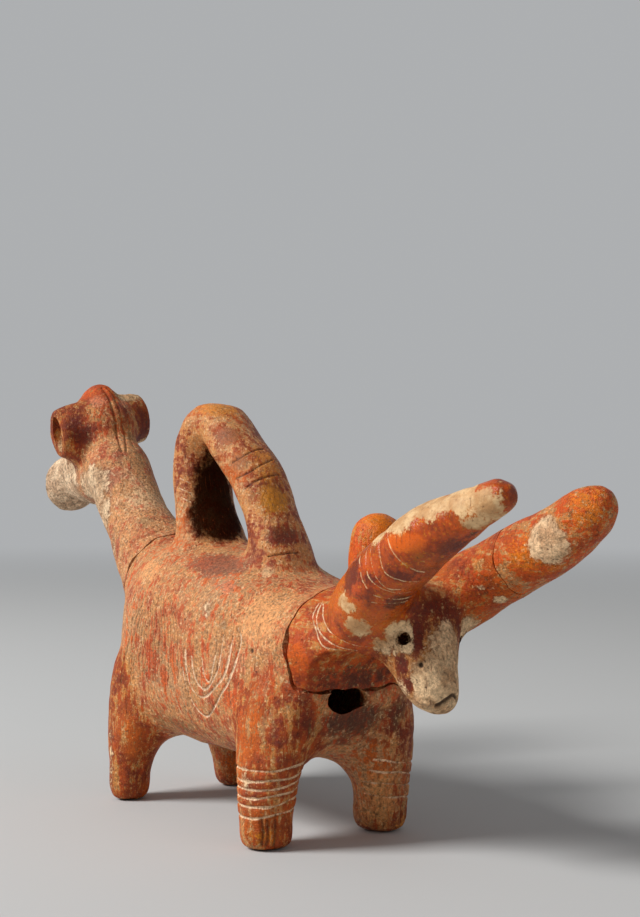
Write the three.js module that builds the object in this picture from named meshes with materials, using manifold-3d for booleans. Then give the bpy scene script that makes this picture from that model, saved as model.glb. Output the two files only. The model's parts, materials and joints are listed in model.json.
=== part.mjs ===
// Two-headed animal askos, a hand-built pouring vessel of burnished red clay.
// A hollow barrel stands on four stub legs. A long neck at the rump carries a ram's head with
// rolled horns and a flared snout, a short thick neck at the chest carries a bull's head with
// long forward horns, and a strap handle loops over the back.
// Millimetres, +Z up, +X towards the bull's head, +Y the bull's left.
// The origin lies on the ground, under the middle of the whole object, and the sizes below are
// measured from the middle of the barrel, which lies a little behind it.

import * as THREE from "three";
import { mergeVertices } from "three/addons/utils/BufferGeometryUtils.js";
import Module from "manifold-3d";

const wasm = await Module();
wasm.setup();

// Clearances
const SEAM = 0.3; // between two pieces that were luted or re-joined
const OVERSHOOT = 40; // how far a cutting solid runs past what it cuts

// Barrel of the vessel
const WALL = 6.5;
const BARREL_LENGTH = 123;
const BARREL_WIDTH = 59;
const BELLY_CLEARANCE = 22;
const RUMP_HEIGHT = 98;
const CHEST_HEIGHT = 81;
const END_FULLNESS = 3; // 2 is an ellipse, higher is squarer
const GIRTH_FULLNESS = 2.5;
const CHEST_HOLE_WIDTH = 13;
const CHEST_HOLE_HEIGHT = 9;
const CHEST_HOLE_LEVEL = 44.5; // above the ground
const CHEST_HOLE_OFFSET = -4; // to the right of the middle plane

// Legs
const FRONT_STANCE = 45.5; // forward of the middle of the barrel
const REAR_STANCE = 45.5;
const FRONT_TRACK = 43.5; // between the middles of the two feet
const REAR_TRACK = 44;
const FRONT_FOOT_WIDTH = 17;
const REAR_FOOT_WIDTH = 15;
const FRONT_LEG_REACH = 54; // how high a leg runs up the barrel's side
const REAR_LEG_REACH = 56;
const LEG_SPREAD = 4.5; // extra half-width of a leg where it meets the barrel
const REAR_LEG_LEAN = 5; // how far a rear leg leans forward on its way up

// Strap handle
const HANDLE_HEIGHT = 140.5; // top of the loop above the ground
const HANDLE_BACK = -31.5; // middle of the rear limb
const HANDLE_FRONT = 21.5; // middle of the front root
const HANDLE_WIDTH = 19;
const HANDLE_THICKNESS = 14;
const HANDLE_REAR_WIDTH = 23;

// Ram's neck, as a tube that rises from the rump
const RAM_NECK_INSET = 13; // its root, in from the end of the barrel
const RAM_NECK_ROOT_RISE = 12; // above the barrel's middle line
const RAM_NECK_LENGTH = 80;
const RAM_NECK_SLOPE = 41; // degrees above level, at the root
const RAM_NECK_STEEPEN = 8; // degrees more at the head
const RAM_NECK_WIDTH = 26;
const RAM_NECK_ROOT_WIDTH = 39;
const RAM_BREAK_AT = 18; // distance of the old break from the root

// Ram's head
const RAM_HEAD_WIDTH = 25;
const RAM_NAPE = 5; // how far the neck runs on into the head
const RAM_CREST_HEIGHT = 19.5; // above the middle of the head
const RAM_CREST_WIDTH = 18;
const RAM_HORN_DIAMETER = 21;
const RAM_HORN_LENGTH = 18.5; // from the head's middle plane to the flat end
const RAM_HORN_SWEEP = 5; // degrees that a roll turns towards the snout
const RAM_HORN_ROLL = 11; // degrees that the pair is tilted, the ram's right side up
const RAM_HORN_LIFT = 2.5; // above the middle of the head
const RAM_HORN_HOLLOW = 4.5;
const RAM_SNOUT_LENGTH = 32;
const RAM_SNOUT_DROP = 21;
const RAM_SNOUT_WIDTH = 20;
const RAM_DISC_WIDTH = 25.5;
const RAM_DISC_THICKNESS = 4;
const RAM_DISC_EDGE = 2.5; // length over which its edge is rounded
const RAM_DISC_DISH = 2.5;

// Bull's neck, as a wide tube that opens out of the chest
const BULL_NECK_ROOT = 30; // forward of the middle of the barrel
const BULL_NECK_LENGTH = 60;
const BULL_NECK_ROOT_WIDTH = 54;
const BULL_NECK_WIDTH = 40;
const BULL_NECK_ROOT_DEPTH = 44;
const BULL_NECK_DEPTH = 26;
const BULL_NECK_ROOT_RISE = 2; // above the barrel's middle line
const BULL_NECK_LIFT = 14; // rise of its middle line from root to head
const THROAT_RADIUS = 15.5; // of the hollow between chin and chest
const THROAT_FORWARD = 80; // forward of the middle of the barrel
const THROAT_LEVEL = 46; // above the ground
const BREAK_FORWARD = 58; // the old break across the shoulder
const BREAK_HEIGHT = 48.5; // and the level at which it turns forward over the chest
const BREAK_CORNER = 7;

// Bull's head
const BULL_HEAD_LENGTH = 31.5;
const BULL_HEAD_WIDTH = 30;
const BULL_MUZZLE_WIDTH = 13;
const BULL_HEAD_HANG = 57; // degrees below level that the face points
const BULL_EYE_DIAMETER = 3.4;
const BULL_EYE_DEPTH = 2.5;
const KNOB_WIDTH = 18;
const KNOB_HEIGHT = 18;

// Bull's horns
const HORN_LENGTH = 69; // forward, from the root to the tip
const HORN_RISE = 36.5;
const HORN_ROOT_WIDTH = 23;
const RIGHT_HORN_TIP_WIDTH = 8.2;
const LEFT_HORN_TIP_WIDTH = 15;
const LEFT_HORN_SAG = 4.5; // how far the left horn hangs below the right one's curve
const HORN_SPACING = 37; // between the two middles, half way along
const LEFT_HORN_BREAK = 29; // forward of the root
const LEFT_HORN_BREAK_TILT = 12; // degrees that its break leans back

// Fineness of the facets
const BARREL_SIDES = 36;
const BARREL_RINGS = 18;
const LIMB_SIDES = 16;
const LIMB_RINGS = 7;
const THROAT_SIDES = 32;

const X_AXIS = new THREE.Vector3(1, 0, 0);
const Y_AXIS = new THREE.Vector3(0, 1, 0);
const Z_AXIS = new THREE.Vector3(0, 0, 1);

// Colours of the slip
const RED_SLIP = 0xb24a22;
const WORN_SLIP = 0xc07446;
const PALE_LIME = 0xcbb39a;
const BROWN_SLIP = 0x9c5a34;

function at(x, y, z) {
  return new THREE.Vector3(x, y, z);
}

function radians(degrees) {
  return THREE.MathUtils.degToRad(degrees);
}

function blend(from, to, share) {
  return THREE.MathUtils.lerp(from, to, share);
}

// A solid from a three.js geometry: only its points and faces are kept.
function solidFrom(geometry) {
  const bare = geometry.clone();
  bare.deleteAttribute("normal");
  bare.deleteAttribute("uv");
  const merged = mergeVertices(bare);
  return new wasm.Manifold(
    new wasm.Mesh({
      numProp: 3,
      vertProperties: new Float32Array(merged.attributes.position.array),
      triVerts: new Uint32Array(merged.index.array),
    }),
  );
}

// One closed ring of a loft: a superellipse around centre, in the plane of side and up.
function ring(centre, side, up, wide, deep, fullness, sides) {
  const points = [];
  for (let k = 0; k < sides; k++) {
    const angle = (2 * Math.PI * k) / sides;
    const across = Math.cos(angle);
    const along = Math.sin(angle);
    const reach = (Math.abs(across) ** fullness + Math.abs(along) ** fullness) ** (-1 / fullness);
    points.push(
      centre
        .clone()
        .addScaledVector(side, wide * reach * across)
        .addScaledVector(up, deep * reach * along),
    );
  }
  return points;
}

// The closed skin over a row of rings, drawn to a point beyond each end.
function loft(rings, startTip, endTip) {
  const sides = rings[0].length;
  const points = [startTip, ...rings.flat(), endTip];
  const lastPoint = points.length - 1;
  const lastRing = rings.length - 1;
  const corner = (row, k) => 1 + row * sides + (k % sides);
  const faces = [];
  for (let k = 0; k < sides; k++) {
    faces.push(0, corner(0, k + 1), corner(0, k));
    for (let row = 0; row < lastRing; row++) {
      faces.push(corner(row, k), corner(row, k + 1), corner(row + 1, k + 1));
      faces.push(corner(row, k), corner(row + 1, k + 1), corner(row + 1, k));
    }
    faces.push(lastPoint, corner(lastRing, k), corner(lastRing, k + 1));
  }
  const geometry = new THREE.BufferGeometry().setFromPoints(points);
  geometry.setIndex(faces);
  return solidFrom(geometry);
}

// A roll of clay along a smooth spine. Each station has its place, its half-width along side
// and its half-depth square to it. A rounded end closes over the stated length, like a fingertip,
// and the other ends are flat. grow makes the whole roll larger by that much on every side.
function roll(stations, options = {}) {
  const { side = Y_AXIS, fullness = 2, roundStart = 0, roundEnd = 0, grow = 0 } = options;
  const { sides = LIMB_SIDES, rings = LIMB_RINGS } = options;
  const spine = new THREE.CatmullRomCurve3(stations.map((station) => station.place));
  const sizes = new THREE.SplineCurve(
    stations.map((station) => new THREE.Vector2(station.wide, station.deep)),
  );
  const length = spine.getLength();
  const distances = ringDistances(length, roundStart, roundEnd, rings);
  const skin = distances.map((distance) => {
    const share = spine.getUtoTmapping(0, distance);
    const size = sizes.getPoint(share);
    const shrink = closing(distance, roundStart) * closing(length - distance, roundEnd);
    const tangent = spine.getTangent(share);
    const up = tangent.clone().cross(side).normalize();
    const across = up.clone().cross(tangent);
    const wide = size.x * shrink + grow;
    const deep = size.y * shrink + grow;
    const lean = tipLean(length - distance, roundEnd) - tipLean(distance, roundStart);
    const centre = spine.getPoint(share).addScaledVector(tangent, grow * lean);
    return ring(centre, across, up, wide, deep, fullness, sides);
  });
  const startTip = spine.getPoint(0).addScaledVector(spine.getTangent(0), -grow);
  const endTip = spine.getPoint(1).addScaledVector(spine.getTangent(1), grow);
  return loft(skin, startTip, endTip);
}

// Where the rings of a roll lie along its spine, closer together over a rounded end.
function ringDistances(length, roundStart, roundEnd, rings) {
  const capRings = 4;
  const distances = [];
  for (let k = 1; k <= capRings && roundStart > 0; k++) {
    distances.push(roundStart * (1 - Math.cos((Math.PI / 2) * (k / capRings))));
  }
  const first = roundStart > 0 ? 1 : 0;
  const last = roundEnd > 0 ? rings - 1 : rings;
  for (let k = first; k <= last; k++) {
    distances.push(blend(roundStart, length - roundEnd, k / rings));
  }
  for (let k = capRings; k >= 1 && roundEnd > 0; k--) {
    distances.push(length - roundEnd * (1 - Math.cos((Math.PI / 2) * (k / capRings))));
  }
  return distances;
}

// The share of its width that a rounded end has at a distance from its tip.
function closing(distance, roundLength) {
  if (distance >= roundLength) return 1;
  return Math.sqrt(1 - (1 - distance / roundLength) ** 2);
}

// How far the skin of a rounded end faces along the spine, from 1 at its tip to 0 where it closes.
function tipLean(distance, roundLength) {
  return distance >= roundLength ? 0 : 1 - distance / roundLength;
}

// A place in the middle plane, reached from another by going a distance at an angle above level.
function onward(from, degrees, distance) {
  const angle = radians(degrees);
  return from.clone().add(at(Math.cos(angle) * distance, 0, Math.sin(angle) * distance));
}

// Barrel: its back slopes down from the rump to the chest, its belly is level.
const halfLength = BARREL_LENGTH / 2;

function backHeight(x) {
  return blend(RUMP_HEIGHT, CHEST_HEIGHT, (x + halfLength) / BARREL_LENGTH);
}

function middleHeight(x) {
  return (backHeight(x) + BELLY_CLEARANCE) / 2;
}

function barrel(inset) {
  const rings = [];
  const reach = halfLength - inset;
  for (let row = 1; row < BARREL_RINGS; row++) {
    const share = -Math.cos((Math.PI * row) / BARREL_RINGS);
    const swell = (1 - Math.abs(share) ** END_FULLNESS) ** (1 / END_FULLNESS);
    const x = share * reach;
    const wide = (BARREL_WIDTH / 2 - inset) * swell;
    const deep = ((backHeight(x) - BELLY_CLEARANCE) / 2 - inset) * swell;
    const centre = at(x, 0, middleHeight(x));
    rings.push(ring(centre, Y_AXIS, Z_AXIS, wide, deep, GIRTH_FULLNESS, BARREL_SIDES));
  }
  return loft(rings, at(-reach, 0, middleHeight(-reach)), at(reach, 0, middleHeight(reach)));
}

// Ram's neck
const ramNeckSlope = 180 - RAM_NECK_SLOPE;
const ramNeckRoot = at(
  -halfLength + RAM_NECK_INSET,
  0,
  middleHeight(-halfLength + RAM_NECK_INSET) + RAM_NECK_ROOT_RISE,
);
const ramNeckMiddle = onward(ramNeckRoot, ramNeckSlope, RAM_NECK_LENGTH / 2);
const ramNeckTop = onward(ramNeckMiddle, ramNeckSlope - RAM_NECK_STEEPEN, RAM_NECK_LENGTH / 2);

function ramNeck(inset) {
  const root = RAM_NECK_ROOT_WIDTH / 2 - inset;
  const slim = RAM_NECK_WIDTH / 2 - inset;
  const atBreak = onward(ramNeckRoot, ramNeckSlope, RAM_BREAK_AT);
  const top = onward(ramNeckTop, ramNeckSlope - RAM_NECK_STEEPEN, -inset);
  return roll(
    [
      { place: ramNeckRoot, wide: root, deep: root },
      { place: atBreak, wide: blend(slim, root, 0.45), deep: blend(slim, root, 0.5) },
      { place: ramNeckMiddle, wide: slim, deep: slim },
      { place: top, wide: slim, deep: slim },
    ],
    { roundEnd: slim, sides: 26 },
  );
}

// Bull's neck
const bullNeckRoot = at(BULL_NECK_ROOT, 0, middleHeight(BULL_NECK_ROOT) + BULL_NECK_ROOT_RISE);
const bullNeckTop = bullNeckRoot.clone().add(at(BULL_NECK_LENGTH, 0, BULL_NECK_LIFT));

function bullNeck(inset) {
  const rootWide = BULL_NECK_ROOT_WIDTH / 2 - inset;
  const rootDeep = BULL_NECK_ROOT_DEPTH / 2 - inset;
  const topWide = BULL_NECK_WIDTH / 2 - inset;
  const topDeep = BULL_NECK_DEPTH / 2 - inset;
  const shoulder = bullNeckRoot.clone().lerp(bullNeckTop, 0.45);
  const top = bullNeckTop.clone().addScaledVector(X_AXIS, -inset);
  return roll(
    [
      { place: bullNeckRoot, wide: rootWide, deep: rootDeep },
      { place: shoulder, wide: blend(rootWide, topWide, 0.3), deep: blend(rootDeep, topDeep, 0.35) },
      { place: top, wide: topWide, deep: topDeep },
    ],
    { roundEnd: topDeep, sides: 30 },
  );
}

// What the hollow between chin and chest takes away: a round bar that lies level, side to side.
function throat(grow) {
  const radius = THROAT_RADIUS + grow;
  const length = BARREL_WIDTH + 2 * OVERSHOOT;
  const bar = new THREE.CylinderGeometry(radius, radius, length, THROAT_SIDES);
  bar.translate(THROAT_FORWARD, 0, THROAT_LEVEL);
  return solidFrom(bar);
}

// The outside of the barrel and its two necks, less inset.
function vesselForm(inset) {
  return barrel(inset).add(ramNeck(inset)).add(bullNeck(inset)).subtract(throat(inset));
}

// The solid beyond the break in the ram's neck: everything on the head's side of a plane.
function beyondRamBreak(shift) {
  const size = 2 * OVERSHOOT + RAM_NECK_ROOT_WIDTH;
  const slab = new THREE.BoxGeometry(2 * RAM_NECK_LENGTH, size, size);
  slab.translate(RAM_NECK_LENGTH + RAM_BREAK_AT + shift, 0, 0);
  slab.rotateY(-radians(ramNeckSlope));
  slab.translate(ramNeckRoot.x, ramNeckRoot.y, ramNeckRoot.z);
  return solidFrom(slab);
}

// The solid beyond the break at the bull's neck: in front of the shoulder and above the chest,
// with a rounded inner corner. shift moves both faces of the break outwards.
function beyondBullBreak(shift) {
  const back = BREAK_FORWARD + shift;
  const floor = BREAK_HEIGHT + shift;
  const front = halfLength + BULL_NECK_LENGTH + OVERSHOOT;
  const top = backHeight(0) + OVERSHOOT;
  const outline = new THREE.Shape();
  outline.moveTo(front, floor);
  outline.lineTo(front, top);
  outline.lineTo(back, top);
  outline.lineTo(back, floor + BREAK_CORNER);
  outline.absarc(back + BREAK_CORNER, floor + BREAK_CORNER, BREAK_CORNER, Math.PI, 1.5 * Math.PI);
  const depth = BARREL_WIDTH + 2 * OVERSHOOT;
  const block = new THREE.ExtrudeGeometry(outline, { depth, bevelEnabled: false, curveSegments: 6 });
  block.rotateX(Math.PI / 2);
  block.translate(0, depth / 2, 0);
  return solidFrom(block);
}

// The hole through the chest, level along X.
function chestHole() {
  const inside = at(halfLength - 3 * WALL, CHEST_HOLE_OFFSET, CHEST_HOLE_LEVEL);
  const outside = at(halfLength + 3 * WALL, CHEST_HOLE_OFFSET, CHEST_HOLE_LEVEL);
  const size = { wide: CHEST_HOLE_WIDTH / 2, deep: CHEST_HOLE_HEIGHT / 2 };
  return roll([{ place: inside, ...size }, { place: outside, ...size }], { rings: 1 });
}

// The whole fired wall of the vessel, one hollow skin from neck to neck.
const vessel = vesselForm(0).subtract(vesselForm(WALL)).subtract(chestHole());

// The outside of the vessel grown by the seam, which every luted piece is cut back to.
const vesselSeat = vesselForm(-SEAM);

// A leg: a stub that widens into the side of the barrel and is rubbed flat underneath.
function leg(forward, sideways, footWidth, reach, lean) {
  const foot = footWidth / 2;
  const root = foot + LEG_SPREAD;
  const inward = Math.sign(sideways) * -LEG_SPREAD;
  const trim = foot; // length that is rounded off and then cut flat
  const knee = BELLY_CLEARANCE;
  const thigh = blend(BELLY_CLEARANCE, reach, 0.5);
  const along = (height, share) => at(forward + lean * share, sideways + inward * share, height);
  const stub = roll(
    [
      { place: along(-trim * 0.55, 0), wide: foot, deep: foot },
      { place: along(knee * 0.45, 0), wide: foot * 1.02, deep: foot * 1.02 },
      { place: along(knee, 0.25), wide: blend(foot, root, 0.4), deep: blend(foot, root, 0.7) },
      { place: along(thigh, 0.7), wide: root * 0.9, deep: root * 1.15 },
      { place: along(reach, 1), wide: root * 0.8, deep: root },
    ],
    { roundStart: trim, roundEnd: foot },
  );
  return stub.intersect(aboveGround()).subtract(vesselSeat);
}

function frontLeg(hand) {
  return leg(FRONT_STANCE, (hand * FRONT_TRACK) / 2, FRONT_FOOT_WIDTH, FRONT_LEG_REACH, 0);
}

function rearLeg(hand) {
  const lean = REAR_LEG_LEAN;
  return leg(-REAR_STANCE, (hand * REAR_TRACK) / 2, REAR_FOOT_WIDTH, REAR_LEG_REACH, lean);
}

function aboveGround() {
  const size = 4 * BARREL_LENGTH;
  const block = new THREE.BoxGeometry(size, size, size);
  block.translate(0, 0, size / 2);
  return solidFrom(block);
}

// The handle: a strap that stands on the back by two spread roots. Its loop leans to the rump.
function handle() {
  const wide = HANDLE_WIDTH / 2;
  const deep = HANDLE_THICKNESS / 2;
  const rearWide = HANDLE_REAR_WIDTH / 2;
  const crown = HANDLE_HEIGHT - deep;
  const rearSeat = backHeight(HANDLE_BACK);
  const frontSeat = backHeight(HANDLE_FRONT);
  const span = HANDLE_FRONT - HANDLE_BACK;
  const rear = (share, lift) => at(HANDLE_BACK + span * share, 0, blend(rearSeat, crown, lift));
  const front = (share, lift) => at(HANDLE_BACK + span * share, 0, blend(frontSeat, crown, lift));
  return roll(
    [
      { place: rear(0.15, -0.2), wide: rearWide * 1.15, deep: deep * 1.5 },
      { place: rear(0.03, 0.25), wide: rearWide, deep: deep },
      { place: rear(0, 0.62), wide: rearWide * 0.96, deep: deep },
      { place: rear(0.04, 0.88), wide: blend(rearWide, wide, 0.6), deep: deep },
      { place: rear(0.18, 1), wide: wide * 1.05, deep: deep },
      { place: front(0.47, 0.79), wide: wide, deep: deep },
      { place: front(0.71, 0.53), wide: wide, deep: deep },
      { place: front(0.89, 0.24), wide: wide, deep: deep * 1.05 },
      { place: front(1, -0.15), wide: wide * 1.25, deep: deep * 1.5 },
    ],
    { rings: 24, fullness: 2.4 },
  ).subtract(vesselSeat);
}

// Ram's head: an egg-shaped lump over the end of the neck, whose long axis points down the snout.
const ramBrow = onward(ramNeckTop, ramNeckSlope - RAM_NECK_STEEPEN, RAM_HEAD_WIDTH / 2 - RAM_NAPE);
const ramSnoutTip = ramBrow.clone().add(at(-RAM_SNOUT_LENGTH, 0, -RAM_SNOUT_DROP));

function ramHead(grow) {
  const half = RAM_HEAD_WIDTH / 2;
  const nape = ramBrow.clone().lerp(ramSnoutTip, -half / RAM_SNOUT_LENGTH);
  return roll(
    [
      { place: nape, wide: half, deep: half },
      { place: ramBrow, wide: half, deep: half * 1.02 },
      { place: ramBrow.clone().lerp(ramSnoutTip, 0.5), wide: half * 0.85, deep: half * 0.85 },
    ],
    { roundStart: half * 0.9, roundEnd: half * 0.7, grow },
  );
}

function ramCrest(grow) {
  const half = RAM_CREST_WIDTH / 2;
  const foot = ramBrow.clone().add(at(-half * 0.3, 0, -half / 2));
  const top = ramBrow.clone().add(at(-half * 0.3, 0, RAM_CREST_HEIGHT));
  const ends = [
    { place: foot, wide: half, deep: half * 1.6 },
    { place: top, wide: half * 0.8, deep: half * 1.1 },
  ];
  return roll(ends, { roundEnd: half * 1.3, rings: 4, grow });
}

// A horn rolled up beside the head, with a blind oval hollow in its flat end.
function ramHorn(hand) {
  const radius = RAM_HORN_DIAMETER / 2;
  const outward = at(0, hand, 0);
  outward.applyAxisAngle(Z_AXIS, hand * radians(RAM_HORN_SWEEP));
  outward.applyAxisAngle(X_AXIS, radians(RAM_HORN_ROLL));
  const middle = ramBrow.clone().addScaledVector(Z_AXIS, RAM_HORN_LIFT);
  const along = (distance) => middle.clone().addScaledVector(outward, distance);
  const size = { wide: radius * 0.86, deep: radius };
  const flare = { wide: radius * 0.72, deep: radius * 0.85 };
  const horn = roll(
    [
      { place: along(0), ...flare },
      { place: along(RAM_HORN_LENGTH * 0.6), ...size },
      { place: along(RAM_HORN_LENGTH), wide: size.wide * 0.85, deep: size.deep * 0.92 },
    ],
    { side: X_AXIS, rings: 6 },
  );
  const hollow = roll(
    [
      { place: along(RAM_HORN_LENGTH - RAM_HORN_HOLLOW), wide: radius * 0.2, deep: radius * 0.45 },
      { place: along(RAM_HORN_LENGTH + 1), wide: radius * 0.34, deep: radius * 0.6 },
    ],
    { side: X_AXIS, rings: 1, sides: 12 },
  );
  return horn.subtract(hollow).subtract(ramHead(SEAM)).subtract(ramCrest(SEAM)).subtract(vesselSeat);
}

// The snout: a waisted tube that flares into a dished disc.
function ramSnout() {
  const waist = RAM_SNOUT_WIDTH / 2;
  const disc = RAM_DISC_WIDTH / 2;
  const run = RAM_SNOUT_LENGTH;
  const start = ramSnoutTip.clone().addScaledVector(X_AXIS, run * 0.75);
  start.z += RAM_SNOUT_DROP * 0.45;
  const neck = ramSnoutTip.clone().addScaledVector(X_AXIS, run * 0.3);
  neck.z += RAM_SNOUT_DROP * 0.12;
  const flange = ramSnoutTip.clone().addScaledVector(X_AXIS, RAM_DISC_THICKNESS);
  const snout = roll(
    [
      { place: start, wide: waist * 1.1, deep: waist * 1.1 },
      { place: neck, wide: waist, deep: waist },
      { place: flange, wide: disc * 0.93, deep: disc * 0.93 },
      { place: ramSnoutTip, wide: disc, deep: disc },
    ],
    { rings: 12, roundEnd: RAM_DISC_EDGE },
  );
  const dish = new THREE.SphereGeometry(disc * 1.2, 20, 12);
  dish.translate(ramSnoutTip.x - disc * 1.2 + RAM_DISC_DISH, 0, ramSnoutTip.z);
  return snout.subtract(solidFrom(dish)).subtract(ramHead(SEAM)).subtract(vesselSeat);
}

// Bull's head: a wedge that hangs from the front of the neck, widest at the brow.
const bullBrow = bullNeckTop.clone().add(at(-BULL_NECK_DEPTH * 0.15, 0, BULL_NECK_DEPTH * 0.12));
const bullMuzzle = onward(bullBrow, -BULL_HEAD_HANG, BULL_HEAD_LENGTH);

function bullHead(grow) {
  const brow = BULL_HEAD_WIDTH / 2;
  const muzzle = BULL_MUZZLE_WIDTH / 2;
  const poll = onward(bullBrow, 180 - BULL_HEAD_HANG, brow * 0.6);
  const cheek = bullBrow.clone().lerp(bullMuzzle, 0.5);
  return roll(
    [
      { place: poll, wide: brow * 0.9, deep: brow * 0.9 },
      { place: bullBrow, wide: brow, deep: brow * 0.95 },
      { place: cheek, wide: blend(brow, muzzle, 0.5), deep: blend(brow, muzzle, 0.55) },
      { place: bullMuzzle, wide: muzzle, deep: muzzle * 0.9 },
    ],
    { roundStart: brow * 0.8, roundEnd: muzzle * 0.9, grow },
  );
}

// A blind prick for each eye.
function bullEye(hand) {
  const place = bullBrow.clone().lerp(bullMuzzle, 0.3).addScaledVector(X_AXIS, BULL_EYE_DIAMETER);
  const depth = blend(BULL_HEAD_WIDTH, BULL_MUZZLE_WIDTH, 0.3) / 2 - BULL_EYE_DEPTH;
  const radius = BULL_EYE_DIAMETER / 2;
  const inside = place.clone().addScaledVector(Y_AXIS, hand * depth);
  const outside = inside.clone().addScaledVector(Y_AXIS, hand * BULL_HEAD_WIDTH);
  const size = { wide: radius, deep: radius };
  const ends = [
    { place: inside, ...size },
    { place: outside, ...size },
  ];
  return roll(ends, { side: X_AXIS, rings: 1, sides: 8 });
}

// The round knob on the bull's poll, behind the horns.
const knobFoot = bullNeckTop.clone().add(at(-BULL_NECK_DEPTH * 0.7, 0, BULL_NECK_DEPTH * 0.25));

function pollKnob(grow) {
  const half = KNOB_WIDTH / 2;
  const size = { wide: half, deep: half };
  const top = knobFoot.clone().addScaledVector(Z_AXIS, KNOB_HEIGHT + half);
  const ends = [
    { place: knobFoot, ...size },
    { place: top, ...size },
  ];
  return roll(ends, { roundEnd: half, rings: 3, grow });
}

// A horn of the bull: a long roll that leaves the side of the brow and sweeps forward and up.
function bullHorn(hand, tipWidth, sag) {
  const root = HORN_ROOT_WIDTH / 2;
  const tip = tipWidth / 2;
  const middle = blend(root, tip, 0.45);
  const start = bullBrow.clone().add(at(-root * 0.5, hand * HORN_SPACING * 0.3, 0));
  const along = (share, spread, lift, drop) => {
    const rise = HORN_RISE * lift - sag * drop;
    return start.clone().add(at(HORN_LENGTH * share, hand * HORN_SPACING * spread, rise));
  };
  const near = blend(root, middle, 0.5);
  return roll(
    [
      { place: start, wide: root, deep: root },
      { place: along(0.25, 0.16, 0.345, 0.7), wide: near, deep: near },
      { place: along(0.6, 0.2, 0.7, 1), wide: middle, deep: middle },
      { place: along(1, 0.18, 1.03, 0.7), wide: tip, deep: tip },
    ],
    { roundEnd: tip * 1.3, rings: 9 },
  );
}

const wholeRightHorn = bullHorn(-1, RIGHT_HORN_TIP_WIDTH, 0);
const wholeLeftHorn = bullHorn(1, LEFT_HORN_TIP_WIDTH, LEFT_HORN_SAG);

function beyondHornBreak(shift) {
  const size = 2 * HORN_LENGTH;
  const slab = new THREE.BoxGeometry(size, size, size);
  slab.translate(size / 2 + shift, 0, 0);
  slab.rotateY(radians(-LEFT_HORN_BREAK_TILT));
  slab.translate(bullBrow.x + LEFT_HORN_BREAK, 0, bullBrow.z + HORN_RISE / 2);
  return solidFrom(slab);
}

function seatedOnBull(solid) {
  return solid.subtract(bullHead(SEAM)).subtract(vesselSeat);
}

const ramBreak = beyondRamBreak(0);
const bullBreak = beyondBullBreak(0);
const leftHorn = seatedOnBull(wholeLeftHorn);
const rightHorn = seatedOnBull(wholeRightHorn);
const hornsSeat = wholeLeftHorn.add(wholeRightHorn);

const pieces = [
  ["body_barrel", vessel.subtract(ramBreak).subtract(bullBreak), WORN_SLIP],
  ["front_left_leg", frontLeg(1), RED_SLIP],
  ["front_right_leg", frontLeg(-1), RED_SLIP],
  ["rear_left_leg", rearLeg(1), RED_SLIP],
  ["rear_right_leg", rearLeg(-1), RED_SLIP],
  ["loop_handle", handle(), BROWN_SLIP],
  ["ram_neck", vessel.intersect(beyondRamBreak(SEAM)), WORN_SLIP],
  ["ram_head", ramHead(0).subtract(vesselSeat), WORN_SLIP],
  ["ram_crest", ramCrest(0).subtract(ramHead(SEAM)).subtract(vesselSeat), RED_SLIP],
  ["ram_left_horn", ramHorn(-1), RED_SLIP],
  ["ram_right_horn", ramHorn(1), RED_SLIP],
  ["ram_snout", ramSnout(), PALE_LIME],
  ["bull_neck", vessel.intersect(beyondBullBreak(SEAM)), RED_SLIP],
  ["bull_head", bullHead(0).subtract(vesselSeat).subtract(bullEye(1)).subtract(bullEye(-1)), PALE_LIME],
  ["bull_poll_knob", seatedOnBull(pollKnob(0)).subtract(hornsSeat), RED_SLIP],
  ["bull_right_horn", rightHorn, RED_SLIP],
  ["bull_left_horn_base", leftHorn.subtract(beyondHornBreak(0)), WORN_SLIP],
  ["bull_left_horn_tip", leftHorn.intersect(beyondHornBreak(SEAM)), WORN_SLIP],
];

function meshOf(name, solid, color) {
  const made = solid.getMesh();
  const geometry = new THREE.BufferGeometry();
  geometry.setAttribute("position", new THREE.BufferAttribute(made.vertProperties, made.numProp));
  geometry.setIndex(new THREE.BufferAttribute(made.triVerts, 1));
  geometry.computeVertexNormals();
  const material = new THREE.MeshStandardMaterial({ color, roughness: 0.6, metalness: 0 });
  const mesh = new THREE.Mesh(geometry, material);
  mesh.name = name;
  return mesh;
}

const askos = new THREE.Group();
for (const [name, solid, color] of pieces) {
  askos.add(meshOf(name, solid, color));
}

// The finished object is set down with its middle over the origin.
const middle = new THREE.Box3().setFromObject(askos).getCenter(at(0, 0, 0));
askos.position.set(-middle.x, -middle.y, 0);

export default askos;
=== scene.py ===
import json
import math

import bpy
import numpy as np
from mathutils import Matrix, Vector
from mathutils.bvhtree import BVHTree


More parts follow.
